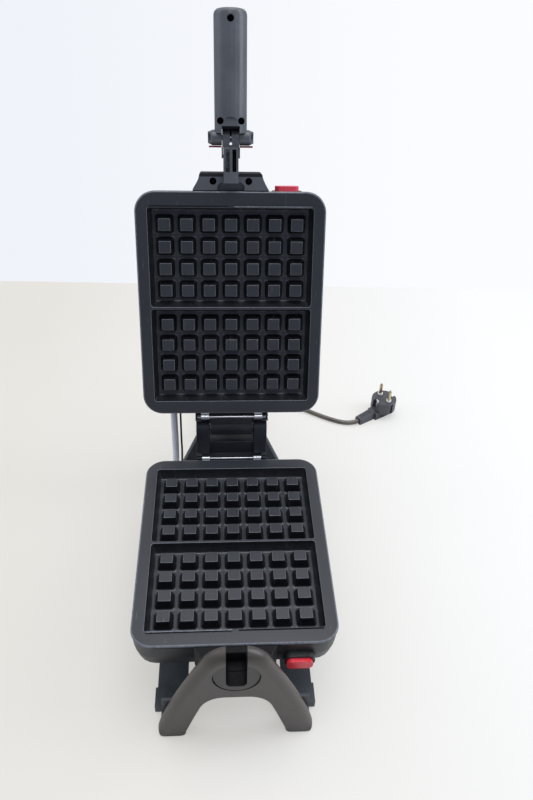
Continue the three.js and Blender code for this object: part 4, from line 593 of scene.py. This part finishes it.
for node_name, carrier, radius in (
    ("lower_plate_rod", "rotor", 1.5 * mm), ("upper_plate_rod", "lid", 1.5 * mm),
    ("hinge_pin", "rotor", 3 * mm), ("fold_pin", "handle", 2.5 * mm),
):
    left, right = [corner.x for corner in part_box(node_name)]
    _, y, z = middle_of(node_name)
    nose = 0.4 * mm
    rings = []
    for inset, cut in ((0, nose), (nose * 0.3, nose * 0.3), (nose, 0)):
        rings.append((left + inset, radius - cut))
        rings.append((right - inset, radius - cut))
    rod = solid(node_name + "_bar", [[(x, y + u, z + v) for u, v in circle(r, 24)] for x, r in sorted(rings)], 50)
    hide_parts(node_name)
    dress(rod, carrier, "rod_steel", bright_rod)


def cast(node_name, edge, segments=2):
    """The node's own shape as a moulding: its loose triangles joined into flats, its edges rounded by so many mm."""
    mesh = bmesh.new()
    mesh.from_mesh(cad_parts[node_name].data)
    for layer in list(mesh.loops.layers.uv):
        mesh.loops.layers.uv.remove(layer)
    bmesh.ops.remove_doubles(mesh, verts=mesh.verts, dist=0.003 * mm)
    bmesh.ops.dissolve_limit(mesh, angle_limit=math.radians(1), verts=mesh.verts, edges=mesh.edges)
    piece = rounded(object_from(mesh, node_name + "_shape", 32), edge * mm, segments, 28, "MITER_ARC")
    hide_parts(node_name)
    return piece


# Shells: the two moulded bowls under and behind the plates, near-black heat-proof plastic with a fine
# satin grain. Flat pads carry the hinge and brackets, a bezel rings each button, a port takes the conduit.
shell_plastic = moulding("moulded_phenolic_black", "#1a1a1b", "#2c2d2f", 0.9, 0.05, 0.44)
for word, carrier, _ in halves:
    dress(cast(word + "_shell", 0.7), carrier, "shell_plastic", shell_plastic)

# Hinge behind the plates: a fork screwed to the lower shell and a knuckle on the upper one, the same
# plastic as the shells, with softly rounded arms; the axle that the unit spins on is part of the fork.
hinge_plastic = moulding("moulded_glass_filled_nylon", "#212327", "#363a40", 0.8, 0.05, 0.4)
for node_name, carrier, edge in (
    ("hinge_fork", "rotor", 1.0), ("hinge_knuckle", "lid", 0.9), ("rear_axle", "rotor", 0.6),
):
    dress(cast(node_name, edge), carrier, "shell_plastic", hinge_plastic)

# Stand: flat rails and a tower in the same black plastic, on four rubber feet, with a plain rear cover.
# The stand's black is greyer than the shells'.
stand_plastic = moulding("moulded_polypropylene_black", "#343839", "#50555a", 0.8, 0.05, 0.42)
for node_name, edge in (("base_frame", 1.0), ("rear_tower", 1.0), ("tower_cover", 0.8)):
    dress(cast(node_name, edge), "stand", "stand_plastic", stand_plastic)

# Arch: one warm grey polyamide moulding in front, its outer edge broadly rounded, with a bore for the journal and
# a slot in its head that lets the handle's stem in. The journal's disc turns in the bore, sunk under its edge.
arch_plastic = moulding("moulded_polyamide_warm_grey", "#3a3530", "#48423c", 0.9, 0.04, 0.36, 0.05, 0.5)
# Painted shade: a near-black, dull finish for slots, troughs, grooves and bracket faces where shade falls.
painted_shade_plastic = moulding("painted_shade_polyamide", "#121213", "#1a1a1c", 0.9, 0.04, 0.6, 0.05, 0.12)
journal_plastic = moulding("moulded_acetal_grey", "#383533", "#45423f", 0.9, 0.04, 0.4)
arch_front, arch_back = [corner.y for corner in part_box("front_arch")]
head_radius = 34 * mm
head_turn = math.radians(25)
head_end = (head_radius * math.cos(head_turn), axis_height + head_radius * math.sin(head_turn))
outer_round, inner_round, toe_round, back_round = 9 * mm, 3.5 * mm, 1.5 * mm, 3.5 * mm
toe = 7 * mm


def bent(start, pull, end, steps):
    """Points of a quadratic curve, without its first."""
    return [tuple((1 - t) ** 2 * a + 2 * t * (1 - t) * b + t * t * c for a, b, c in zip(start, pull, end))
            for t in [i / steps for i in range(1, steps + 1)]]


# The outline's right half, from the top of the head round to the middle of the opening, as x, z and rounding.
half = [(0, axis_height + head_radius, outer_round)]
for i in range(1, 13):
    angle = math.pi / 2 - (math.pi / 2 - head_turn) * i / 12
    half.append((head_radius * math.cos(angle), axis_height + head_radius * math.sin(angle), outer_round))
for rounding, points in (
    (outer_round, bent(head_end, (66.2 * mm, 44.5 * mm), (74 * mm, toe), 16)),
    (toe_round, bent((74 * mm, toe), (74 * mm, 0), (67 * mm, 0), 5) + [(60.6 * mm, 0), (54.3 * mm, 0)]),
    (toe_round, bent((54.3 * mm, 0), (47.3 * mm, 0), (47.3 * mm, toe), 5)),
    (inner_round, [(43.9 * mm, 17.1 * mm), (40.5 * mm, 27.3 * mm), (37.2 * mm, 37.4 * mm)]),
    (inner_round, bent((33.8 * mm, 47.5 * mm), (27 * mm, 68.5 * mm), (10 * mm, 68.5 * mm), 10)),
    (inner_round, [(0, 68.5 * mm)]),
):
    half += [(*point, rounding) for point in points]
outline = half + [(-x, z, r) for x, z, r in half[-2:0:-1]]
for _ in range(3):  # the rounding swells and shrinks smoothly along the edge
    outline = [(x, z, (before[2] + 2 * r + after[2]) / 4)
               for before, (x, z, r), after in zip(outline[-1:] + outline, outline, outline[1:] + outline[:1])]
inward = []
for before, after in zip(outline[-1:] + outline, outline[1:] + outline[:1]):
    away = Vector((after[0] - before[0], after[1] - before[1])).normalized()
    inward.append(Vector((away.y, -away.x)))
rings = []
for face, way, most, turns in (
    (arch_front, 1, outer_round, (1, 0.8, 0.6, 0.4, 0.2, 0)), (arch_back, -1, back_round, (0, 0.5, 1)),
):
    for turn in turns:
        aside, back = 1 - math.cos(turn * math.pi / 2), way * (1 - math.sin(turn * math.pi / 2))
        rings.append([(x + min(r, most) * aside * n.x, face + min(r, most) * back, z + min(r, most) * aside * n.y)
                      for (x, z, r), n in zip(outline, inward)])
arch = solid("arch_moulding", rings, 32)
# Cut out of it: the journal's bore, two screw holes from behind, and the slot in the head.
room = 3 * mm
slot_half = 9.3 * mm
head_slot = [(slot_half, 0), (slot_half, 40 * mm), (-slot_half, 40 * mm), (-slot_half, 0)]
for section, (x, _, z), start in (
    (circle(21.5 * mm, 64), (0, 0, axis_height), arch_front - room),
    (circle(2 * mm, 64), middle_of("arch_screw_left"), arch_back - 10.7 * mm),
    (circle(2 * mm, 64), middle_of("arch_screw_right"), arch_back - 10.7 * mm),
    (head_slot, (0, 0, axis_height), arch_front - room),
):
    tool = solid("arch_tool", [[(x + u, y, z + v) for u, v in section] for y in (start, arch_back + room)])
    cut = arch.modifiers.new("cut", "BOOLEAN")
    cut.object = tool
    cut.solver = "EXACT"
    made_plain(arch)
    bpy.data.objects.remove(tool)
arch.data.set_sharp_from_angle(angle=math.radians(32))
rounded(arch, 0.6 * mm, 2, 40)
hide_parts("front_arch")
dress(arch, "stand", "arch_plastic", arch_plastic, painted_shade_plastic)
journal = cast("front_journal", 0.6)
for vertex in journal.data.vertices:
    if vertex.co.y < arch_front + 1 * mm:  # flush below, sunk above
        vertex.co.y += 3 * mm + (vertex.co.z - axis_height) * 0.085
dress(journal, "rotor", "arch_plastic", journal_plastic, painted_shade_plastic)
trough_half = 9.6 * mm
trough_floor = axis_height - 15.6 * mm
# Painted shade on the arch slot's side walls and inside the journal's trough.
for face in arch.data.polygons:
    face.material_index = int(abs(face.center.x) < trough_half and abs(face.normal.x) > 0.8)
for face in journal.data.polygons:
    inside = abs(face.center.x) < trough_half and face.center.z > trough_floor
    face.material_index = int(inside and face.normal.y > -0.3)

# Brackets in front of both shells: glass-filled nylon mouldings that close into one block round the stem. The upper
# one is a paler grey on its broad face, with painted shade along its top and bottom and on its top and side faces;
# the lower one is a darker copy as painted shade, its trough darker still.
bracket_plastic_painted_shade = moulding("moulded_nylon_painted_shade", "#191a1b", "#232426", 0.8, 0.04, 0.55, 0.06, 0.2)
upper_bracket_plastic = moulding("moulded_nylon_grey", "#474b50", "#595d63", 0.8, 0.04, 0.42)
low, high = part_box("upper_bracket")
tree = upper_bracket_plastic.node_tree
surface = tree.nodes["Principled BSDF"]
# Painted shade: near-black bands along the top 3 mm and the bottom 6.5 mm of the upper bracket.
height = put(tree, "SeparateXYZ", {0: put(tree, "TexCoord").outputs["Object"]}).outputs["Z"]
over = put(tree, "Math", {0: height, 1: high.z - 3 * mm}, operation="GREATER_THAN")
under = put(tree, "Math", {0: height, 1: low.z + 6.5 * mm}, operation="LESS_THAN")
border = put(tree, "Math", {0: over, 1: under}, operation="MAXIMUM")
broad_face = surface.inputs["Base Color"].links[0].from_socket
painted_shade_framed = put(tree, "Mix", {0: border, 6: broad_face, 7: "#0e0f10"})
feed(tree, surface, {"Base Color": painted_shade_framed})
lower_bracket, upper_bracket = cast("lower_bracket", 0.9), cast("upper_bracket", 0.9)
dress(lower_bracket, "rotor", "bracket_plastic", bracket_plastic_painted_shade, painted_shade_plastic)
dress(upper_bracket, "lid", "bracket_plastic", upper_bracket_plastic, painted_shade_plastic)
for face in lower_bracket.data.polygons:
    face.material_index = int(abs(face.center.x) < trough_half and face.center.z > trough_floor)
# Painted shade on the lower bracket's trough and on the upper bracket's top and side faces.
for face in upper_bracket.data.polygons:
    face.material_index = int(face.normal.z > 0.45 or abs(face.normal.x) > 0.4)

# Handle: a ribbed stem and a round grip in two halves, satin anthracite plastic, kept cool by its length. The
# grip's halves are screwed together from the front, their barrels swallow the ends of the fold pin, and a thin
# cap over the stem's head closes the gap behind the pin.
grip_plastic = moulding("moulded_soft_satin_anthracite", "#4a4d51", "#5f6369", 0.7, 0.03, 0.36, 0.05)
stem_up = Vector((0, 0.328867, 0.944376))
stem_front = Vector((0, -0.944376, 0.328867))
_, fold_y, fold_z = middle_of("fold_pin")
stem = cast("handle_stem", 0.45)
dress(stem, "lid", "grip_plastic", grip_plastic, painted_shade_plastic)
# Painted shade in the bottoms of the grooves between the stem's ribs.
for face in stem.data.polygons:  # the bottoms of the grooves between its ribs are dark
    offset = face.center - Vector((0, fold_y, fold_z))
    sunk = 3 * mm < offset.dot(stem_front) < 9.3 * mm and abs(offset.x) < 7 * mm
    face.material_index = int(sunk and offset.dot(stem_up) < -8 * mm)
for node_name in ("grip_front", "grip_back"):
    dress(cast(node_name, 0.8), "handle", "grip_plastic", grip_plastic)
cap_half, cap_inner, cap_outer = 8.2 * mm, 6.6 * mm, 8 * mm
cap_rings = []
for i in range(13):
    turn = math.radians(-20 + 9 * i)
    away = stem_up * math.cos(turn) - stem_front * math.sin(turn)
    cap_rings.append([Vector((x, fold_y, fold_z)) + away * r for x, r in (
        (-cap_half, cap_inner), (cap_half, cap_inner), (cap_half, cap_outer), (-cap_half, cap_outer))])
# The cap takes the same near-black painted-shade finish.
dress(solid("stem_head_cap", cap_rings), "lid", "grip_plastic", painted_shade_plastic)

# Red plastic: half-gloss moulded acetal for the two release buttons, paler on the upper one as painted light, and
# darker as painted shade for the fold release, whose legs run down the stem in the grip's grey. A black collar stands
# proud of the shell round the lower button.
red_plastic = moulding("moulded_acetal_red", "#cc2533", "#e83e4b", 1.2, 0.02, 0.28, 0.05)
red_plastic_painted_light = moulding("moulded_acetal_red_painted_light", "#dd3a4a", "#f4596a", 1.2, 0.02, 0.28, 0.05)
red_plastic_painted_shade = moulding("moulded_acetal_red_painted_shade", "#5c1a20", "#7a2229", 1.2, 0.02, 0.35, 0.05)
dress(cast("lower_button", 1.2, 3), "lower_release", "button_plastic", red_plastic)
dress(cast("upper_button", 1.2, 3), "upper_release", "button_plastic", red_plastic_painted_light)
fold_release = cast("fold_release", 0.5, 3)
dress(fold_release, "release", "button_plastic", red_plastic_painted_shade, grip_plastic)
legs_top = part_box("fold_release")[1].z - 3 * mm
for face in fold_release.data.polygons:
    face.material_index = int(abs(face.center.x) < 11 * mm and face.center.z < legs_top)
button_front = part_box("lower_button")[0].y
collar_mesh = bmesh.new()
collar_rings = []
for grow, behind in ((0.35, 9.8), (0.35, 4.3), (0.8, 3.8), (1.9, 3.8), (2.4, 4.3), (2.8, 9.8)):
    ring = rounded_ring((12.25 + grow) * mm, (5.5 + grow) * mm, (5 + grow) * mm, 0, middle_of("lower_button")[::2])
    collar_rings.append([(x, button_front + behind * mm, z) for x, z, _ in ring])
made = skin(collar_mesh, collar_rings)
join(collar_mesh, made[-1], made[0])
bmesh.ops.recalc_face_normals(collar_mesh, faces=collar_mesh.faces)
dress(object_from(collar_mesh, "lower_button_collar"), "rotor", "shell_plastic", shell_plastic)

# Conduit: a strip-wound galvanised steel tube that carries the wires to the lid, built fixed in the bend it takes
# with the lid open.
# Each turn of the strip is a rounded rib, 2.4 mm from the next, bright on its crest, with painted shade in the
# valleys between.
port_y = 120.25 * mm
conduit_x = -65.8 * mm
wire_x = -58.4 * mm


def port_route(name, x, straight):
    """A smooth line from the lower port back and up to the lid's port, as a curve."""
    start = Vector((x, port_y, -28 * mm))
    low = Vector((x, port_y + 24 * mm, -11 * mm))
    high = Vector((x, port_y + 24 * mm + straight / 2, 8.5 * mm))
    before, end = [opened @ Vector((x, port_y + far, 28.4 * mm)) for far in (straight, 0)]
    return smooth_line(name, [start, start + Vector((0, straight, 0)), low, high, before, end], 16)


wound, given = growth("strip_wound_tube", Line="Object", Turns="Int", Core="Float", Rib="Float", Sides="Int")
line = put(wound, "ObjectInfo", {"Object": given["Line"]}).outputs["Geometry"]
steps = put(wound, "Math", {0: given["Turns"], 1: 8.0}, operation="MULTIPLY")
even = put(wound, "ResampleCurve", {"Curve": line, "Count": steps})
along = put(wound, "SplineParameter")
half_turns = put(wound, "Math", {0: given["Turns"], 1: math.pi}, operation="MULTIPLY")
phase = put(wound, "Math", {0: along, 1: half_turns}, operation="MULTIPLY")
wave = put(wound, "Math", {0: phase}, operation="SINE")
crest = put(wound, "Math", {0: wave}, operation="ABSOLUTE")
radius = put(wound, "Math", {0: crest, 1: given["Rib"], 2: given["Core"]}, operation="MULTIPLY_ADD")
section = put(wound, "CurvePrimitiveCircle", {"Resolution": given["Sides"], "Radius": 1.0})
marked_line = put(wound, "StoreNamedAttribute", {"Geometry": even, "Name": "crest", "Value": crest},
                  data_type="FLOAT", domain="POINT")
tube = put(wound, "CurveToMesh", {"Curve": marked_line, "Profile Curve": section, "Scale": radius, "Fill Caps": True})
end_growth(wound, given, put(wound, "SetShadeSmooth", {0: tube}))
galvanised = metal("galvanised_strip", "#f6f8fb", 0.5, 0.6, (1, 1, 1), 0.2)
tree = galvanised.node_tree
surface = tree.nodes["Principled BSDF"]
crest_mark = put(tree, "Attribute", attribute_name="crest").outputs["Fac"]
open_crest = put(tree, "MapRange", {"Value": crest_mark, "From Min": 0.25, "From Max": 0.75})
dull_strip = surface.inputs["Base Color"].links[0].from_socket
# Painted shade in the valleys between the ribs.
valley_shaded = put(tree, "Mix", {0: open_crest, 6: "#c6cace", 7: dull_strip})
feed(tree, surface, {"Base Color": valley_shaded, "Metallic": 0.05})
wire_cover = moulding("extruded_silicone_black", "#0f0f10", "#222224", 0.8, 0.02, 0.4)
for node_name, x, straight, turns, core, rib, sides, finish, slot in (
    ("conduit", conduit_x, 8 * mm, 40, 3.25 * mm, 0.8 * mm, 24, galvanised, "conduit_steel"),
    ("earth_wire", wire_x, 2.3 * mm, 12, 1.15 * mm, 0.0, 12, wire_cover, "wire_cover"),
):
    route = port_route(node_name + "_line", x, straight)
    tube = grown(wound, node_name + "_tube", Line=route, Turns=turns, Core=core, Rib=rib, Sides=sides,
                 Finish=finish)
    bpy.data.objects.remove(route)
    tube.data.transform(to_frame)
    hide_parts(node_name)
    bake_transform(tube)

# Screws: zinc-plated steel with domed heads and a cross recess, each set driven from one side.
# They hold the arch to the rails, the rear cover to the tower, the lid's bracket and the grip's halves.
zinc = metal("zinc_plated_steel", "#9a9ca0", 0.36, 0.3)
black_zinc = metal("black_zinc_plated_steel", "#141416", 0.45, 0.3)


def screw(name, finish, head, height, shank, length):
    """A screw that points down, with the top of its head at zero."""
    mesh = bmesh.new()
    profile = [(-length, shank * 0.5), (-length + shank, shank), (-height, shank), (-height, head),
               (-height * 0.45, head), (-height * 0.15, head * 0.86), (0, head * 0.66)]
    made = skin(mesh, [[(x, y, z) for x, y in circle(r, 24)] for z, r in profile])
    mesh.faces.new(made[0][::-1])
    arm, reach = head * 0.11, head * 0.55
    cross = [(reach, -arm), (reach, arm), (arm, arm), (arm, reach), (-arm, reach), (-arm, arm),
             (-reach, arm), (-reach, -arm), (-arm, -arm), (-arm, -reach), (arm, -reach), (arm, -arm)]
    floor, rim = skin(mesh, [
        [(x * 0.6, y * 0.6, -height * 0.7) for x, y in cross], [(x, y, 0) for x, y in cross],
    ], inward=True)
    mesh.faces.new(floor)
    fill_flat(mesh, loop(rim) | loop(made[-1]))
    piece = object_from(mesh, name)
    piece.data.materials.append(finish)
    return piece


screw_set, given = growth("screw_set", Screw="Object", Places="Object", Turn="Vector")
places, one = [put(screw_set, "ObjectInfo", {"Object": given[label]}).outputs["Geometry"]
               for label in ("Places", "Screw")]
driven = put(screw_set, "InstanceOnPoints", {"Points": places, "Instance": one, "Rotation": given["Turn"]})
end_growth(screw_set, given, driven)
to_back = (-math.pi / 2, 0, 0)
for names, carrier, size, turn, spots, placed, finish in (
    (("arch_screw_left", "arch_screw_right"), "stand", (3.2, 2, 1.7, 12), to_back, None, Matrix.Identity(4), zinc),
    (("cover_screw_left", "cover_screw_right"), "stand", (3.8, 2, 2, 28), to_back, None, Matrix.Identity(4), zinc),
    (("bracket_screw_left", "bracket_screw_right"), "lid", (3.2, 1.7, 1.7, 14), (0, 0, 0),
     [(side * 17.7 * mm, -128.65 * mm, -1.9 * mm) for side in (-1, 1)], to_frame @ opened @ turned_over, black_zinc),
    (("grip_screw_top", "grip_screw_left", "grip_screw_right"), "handle", (2.8, 3.2, 1.7, 13), (math.pi, 0, 0),
     [(0, -271.3 * mm, -12.6 * mm), (-10 * mm, -184.5 * mm, -7.1 * mm), (10 * mm, -184.5 * mm, -7.1 * mm)],
     to_frame @ opened, black_zinc),
):
    if not spots:  # driven from behind, at the solids' own rear ends
        spots = [(middle_of(name)[0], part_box(name)[1].y, middle_of(name)[2]) for name in names]
    marks = bpy.data.meshes.new("screw_places")
    marks.from_pydata(spots, [], [])
    spots_object = added("screw_places", marks)
    pattern = screw("screw_pattern", finish, *[part * mm for part in size])
    row = grown(screw_set, names[0].rsplit("_", 1)[0] + "s", Screw=pattern, Places=spots_object, Turn=turn,
                Finish=finish)
    bpy.data.objects.remove(pattern)
    bpy.data.objects.remove(spots_object)
    row.data.transform(placed)
    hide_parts(*names)
    dress(row, carrier, "screw_steel")

# Feet: matt black rubber discs under the rails, with a chamfered edge.
foot_rubber = moulding("moulded_nitrile_rubber", "#141414", "#232323", 0.9, 0.05, 0.7)
for node_name in ("foot_front_left", "foot_front_right", "foot_rear_left", "foot_rear_right"):
    dress(cast(node_name, 0.4), "stand", "foot_rubber", foot_rubber)

# Strain relief: a tapered rubber sleeve moulded on the flex, ringed so that it bends evenly, held by a
# collar in the tower's cover.
relief_x, _, relief_z = middle_of("strain_relief")
relief_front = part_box("strain_relief")[0].y
profile = [(0, 4.2), (0, 6.5), (2.9, 6.5), (3.0, 8.1), (3.4, 8.5), (5.1, 8.5), (5.5, 8.1), (5.6, 6.9), (8.2, 6.6)]
for i in range(8):
    start, radius = 8.6 + 3.2 * i, 6.35 - 0.22 * i
    profile += [(start, radius - 0.7), (start + 1.1, radius - 0.75), (start + 1.3, radius - 0.1),
                (start + 1.7, radius), (start + 2.7, radius - 0.05), (start + 3.0, radius - 0.25)]
profile += [(35.4, 4.5), (37.2, 4.4), (37.3, 3.9)]
relief = solid("relief_sleeve", [
    [(relief_x + x, relief_front + y * mm, relief_z + z) for x, z in circle(r * mm, 32)] for y, r in profile
])
relief_rubber = moulding("moulded_soft_pvc_black", "#1d1c1b", "#343230", 0.6, 0.03, 0.5)
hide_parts("strain_relief")
dress(relief, "stand", "cord_rubber", relief_rubber)

# Plug: a round earthed two-pin plug moulded on the flex in black soft plastic, lying on its back. Short ribs
# cross its boot; white collars insulate the feet of the nickel-washed pins, and steel clips lie in its notches.
plug_plastic = moulding("moulded_soft_pvc_plug", "#36383b", "#4c4e52", 0.7, 0.04, 0.42)
plug_body = cast("plug_body", 0.9, 3)
rib_half, rib_wide, rib_high = 3.4 * mm, 0.75 * mm, 0.9 * mm
rib = solid("boot_rib", [
    rounded_ring(rib_wide + grow * mm, rib_half + grow * mm, 0.5 * mm, z * rib_high, steps=2)
    for grow, z in ((0.15, -0.8), (0.1, 0.2), (0, 0.75), (-0.25, 1))
], 60)
rib.data.materials.append(plug_plastic)
boot_ribs, given = growth("boot_ribs", Rib="Object", Count="Int", First="Vector", Step="Vector", Heading="Vector")
row = put(boot_ribs, "MeshLine", {"Count": given["Count"], "Start Location": given["First"], "Offset": given["Step"]})
one = put(boot_ribs, "ObjectInfo", {"Object": given["Rib"]}).outputs["Geometry"]
ribs = put(boot_ribs, "InstanceOnPoints", {"Points": row, "Instance": one, "Rotation": given["Heading"]})
end_growth(boot_ribs, given, ribs)
boot_slope = 4 / 25.8  # the boot's top falls from 14 to 10 mm over its length
boot_line = [plug_centre + plug_out * far * mm + Vector((0, 0, (14 - (far - 20) * boot_slope) * mm))
             for far in (24.5, 27.6)]
boot = grown(boot_ribs, "plug_boot_ribs", Rib=rib, Count=6, First=boot_line[0], Step=boot_line[1] - boot_line[0],
             Heading=(0, math.atan(boot_slope), plug_heading), Finish=plug_plastic)
bpy.data.objects.remove(rib)
dress(plug_body, "stand", "cord_rubber", plug_plastic)
dress(boot, "stand", "cord_rubber")
pin_metal = metal("nickel_washed_brass", "#c2b892", 0.28, 0.3, (1, 1, 0.1))
collar_plastic = moulding("moulded_white_nylon", "#eeece6", "#faf9f5", 0.8, 0.01, 0.4)
clip_metal = metal("sprung_steel_strip", "#e4e6e8", 0.4, 0.3)
for kind, edge, finish, slot in (
    ("plug_pin", 0.5, pin_metal, "pin_brass"), ("plug_sleeve", 0.4, collar_plastic, "sleeve_plastic"),
    ("earth_clip", 0.3, clip_metal, "clip_steel"),
):
    for hand in ("_left", "_right"):
        piece = cast(kind + hand, edge)
        dress(piece, "stand", slot, finish)

# Inside pieces: pressed reflectors and oxidised tubular heaters under the plates, the thermostat, and the
# bearing, retaining clip and terminal block in the tower. They hardly show, so their own shapes stay.
reflector_sheet = metal("pressed_aluminium_sheet", "#c8cacc", 0.26, 0.8, (1, 0.05, 1))
heater_sheath = metal("oxidised_heater_sheath", "#5c5650", 0.5, 0.5)
bearing_nylon = moulding("machined_natural_nylon", "#cfc9bb", "#e2ddd0", 0.7, 0.02, 0.45)
for node_name, finish in (
    ("lower_reflector", reflector_sheet), ("upper_reflector", reflector_sheet), ("lower_element", heater_sheath),
    ("upper_element", heater_sheath), ("thermostat", bearing_nylon), ("axle_bush", bearing_nylon),
    ("terminal_block", bearing_nylon), ("axle_clip", zinc),
):
    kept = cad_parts[node_name]
    if not kept.material_slots:
        kept.data.materials.append(finish)
    for place in kept.material_slots:
        place.material = finish

# Studio: a pale table that ends behind the machine against a white wall, under broad soft light.
# The wall is the world's own colour where the camera or glass looks at it; shiny parts reflect a dimmer sky.
table_mesh = bpy.data.meshes.new("table_top")
table_mesh.from_pydata([(-3, -3, 0), (3, -3, 0), (3, 0.526, 0), (-3, 0.708, 0)], [], [(0, 1, 2, 3)])
table = added("table_top", table_mesh)
paper, tree, surface, place = new_finish("pale_paper")
cloud = put(tree, "TexNoise", {"Vector": place, "Scale": 3, "Detail": 2})
across = put(tree, "SeparateXYZ", {0: place})
# Painted light: the paper grows paler towards the window lamp on the right.
painted_window_light = put(tree, "MapRange", {"Value": across, "From Min": -0.3, "From Max": 0.45})
shaded = put(tree, "Mix", {0: cloud, 6: "#dcd9d0", 7: "#e3e0d8"})
tint = put(tree, "Mix", {0: painted_window_light, 6: shaded, 7: "#f0f0ee"})
pale = put(tree, "Emission", {"Color": tint, "Strength": 1.0})
ray = put(tree, "LightPath").outputs
part = put(tree, "Math", {0: ray["Is Camera Ray"], 1: 0.55}, operation="MULTIPLY")
feed(tree, surface, {"Base Color": tint, "Roughness": 0.7, "Specular IOR Level": 0.2})
feed(tree, tree.nodes["Material Output"], {"Surface": put(tree, "MixShader", {0: part, 1: surface, 2: pale})})
table.data.materials.append(paper)

world = bpy.data.worlds.new("studio")
bpy.context.scene.world = world
world.use_nodes = True
tree = world.node_tree
ray = put(tree, "LightPath").outputs
seen = put(tree, "Math", {0: ray["Is Camera Ray"], 1: ray["Is Transmission Ray"]}, operation="MAXIMUM")
heading = put(tree, "TexCoord").outputs["Generated"]
upward = put(tree, "VectorMath", {0: heading, 1: (0, 0.45, 0.89)}, operation="DOT_PRODUCT")
brighter = put(tree, "MapRange", {
    "Value": upward.outputs["Value"], "From Min": -0.1, "From Max": 0.9, "To Min": 0.33, "To Max": 1.1,
})
sky = put(tree, "Mix", {0: brighter, 6: "#b6c8f6", 7: "#f4f5fa"})
air = put(tree, "Background", {"Color": sky, "Strength": brighter})
aside = put(tree, "SeparateXYZ", {0: heading})
to_right = put(tree, "MapRange", {"Value": aside, "From Min": -0.2, "From Max": 0.25})
paint = put(tree, "Mix", {0: to_right, 6: "#f0f3f9", 7: "#fbfcff"})
wall = put(tree, "Background", {"Color": paint, "Strength": 1.0})
feed(tree, tree.nodes["World Output"], {"Surface": put(tree, "MixShader", {0: seen, 1: air, 2: wall})})


def softbox(name, place, target, width, height, power, code):
    """A rectangular lamp that faces a point."""
    lamp = bpy.data.lights.new(name, "AREA")
    lamp.shape = "RECTANGLE"
    lamp.size, lamp.size_y = width, height
    lamp.energy = power
    lamp.color = linear(code)[:3]
    aim = (Vector(target) - Vector(place)).to_track_quat("-Z", "Y").to_matrix().to_4x4()
    added(name, lamp).matrix_world = Matrix.Translation(place) @ aim


softbox("ceiling", (0.1, 0.1, 1.9), (0, 0, 0.1), 1.2, 1.2, 14, "#fbfcff")
softbox("window_right", (1.5, 0.05, 1.1), (0, 0.1, 0.25), 0.6, 1.3, 12, "#f0f5ff")
softbox("window_left", (-1.5, 0.3, 1.1), (0, 0.1, 0.25), 0.6, 1.3, 4, "#f4f8ff")
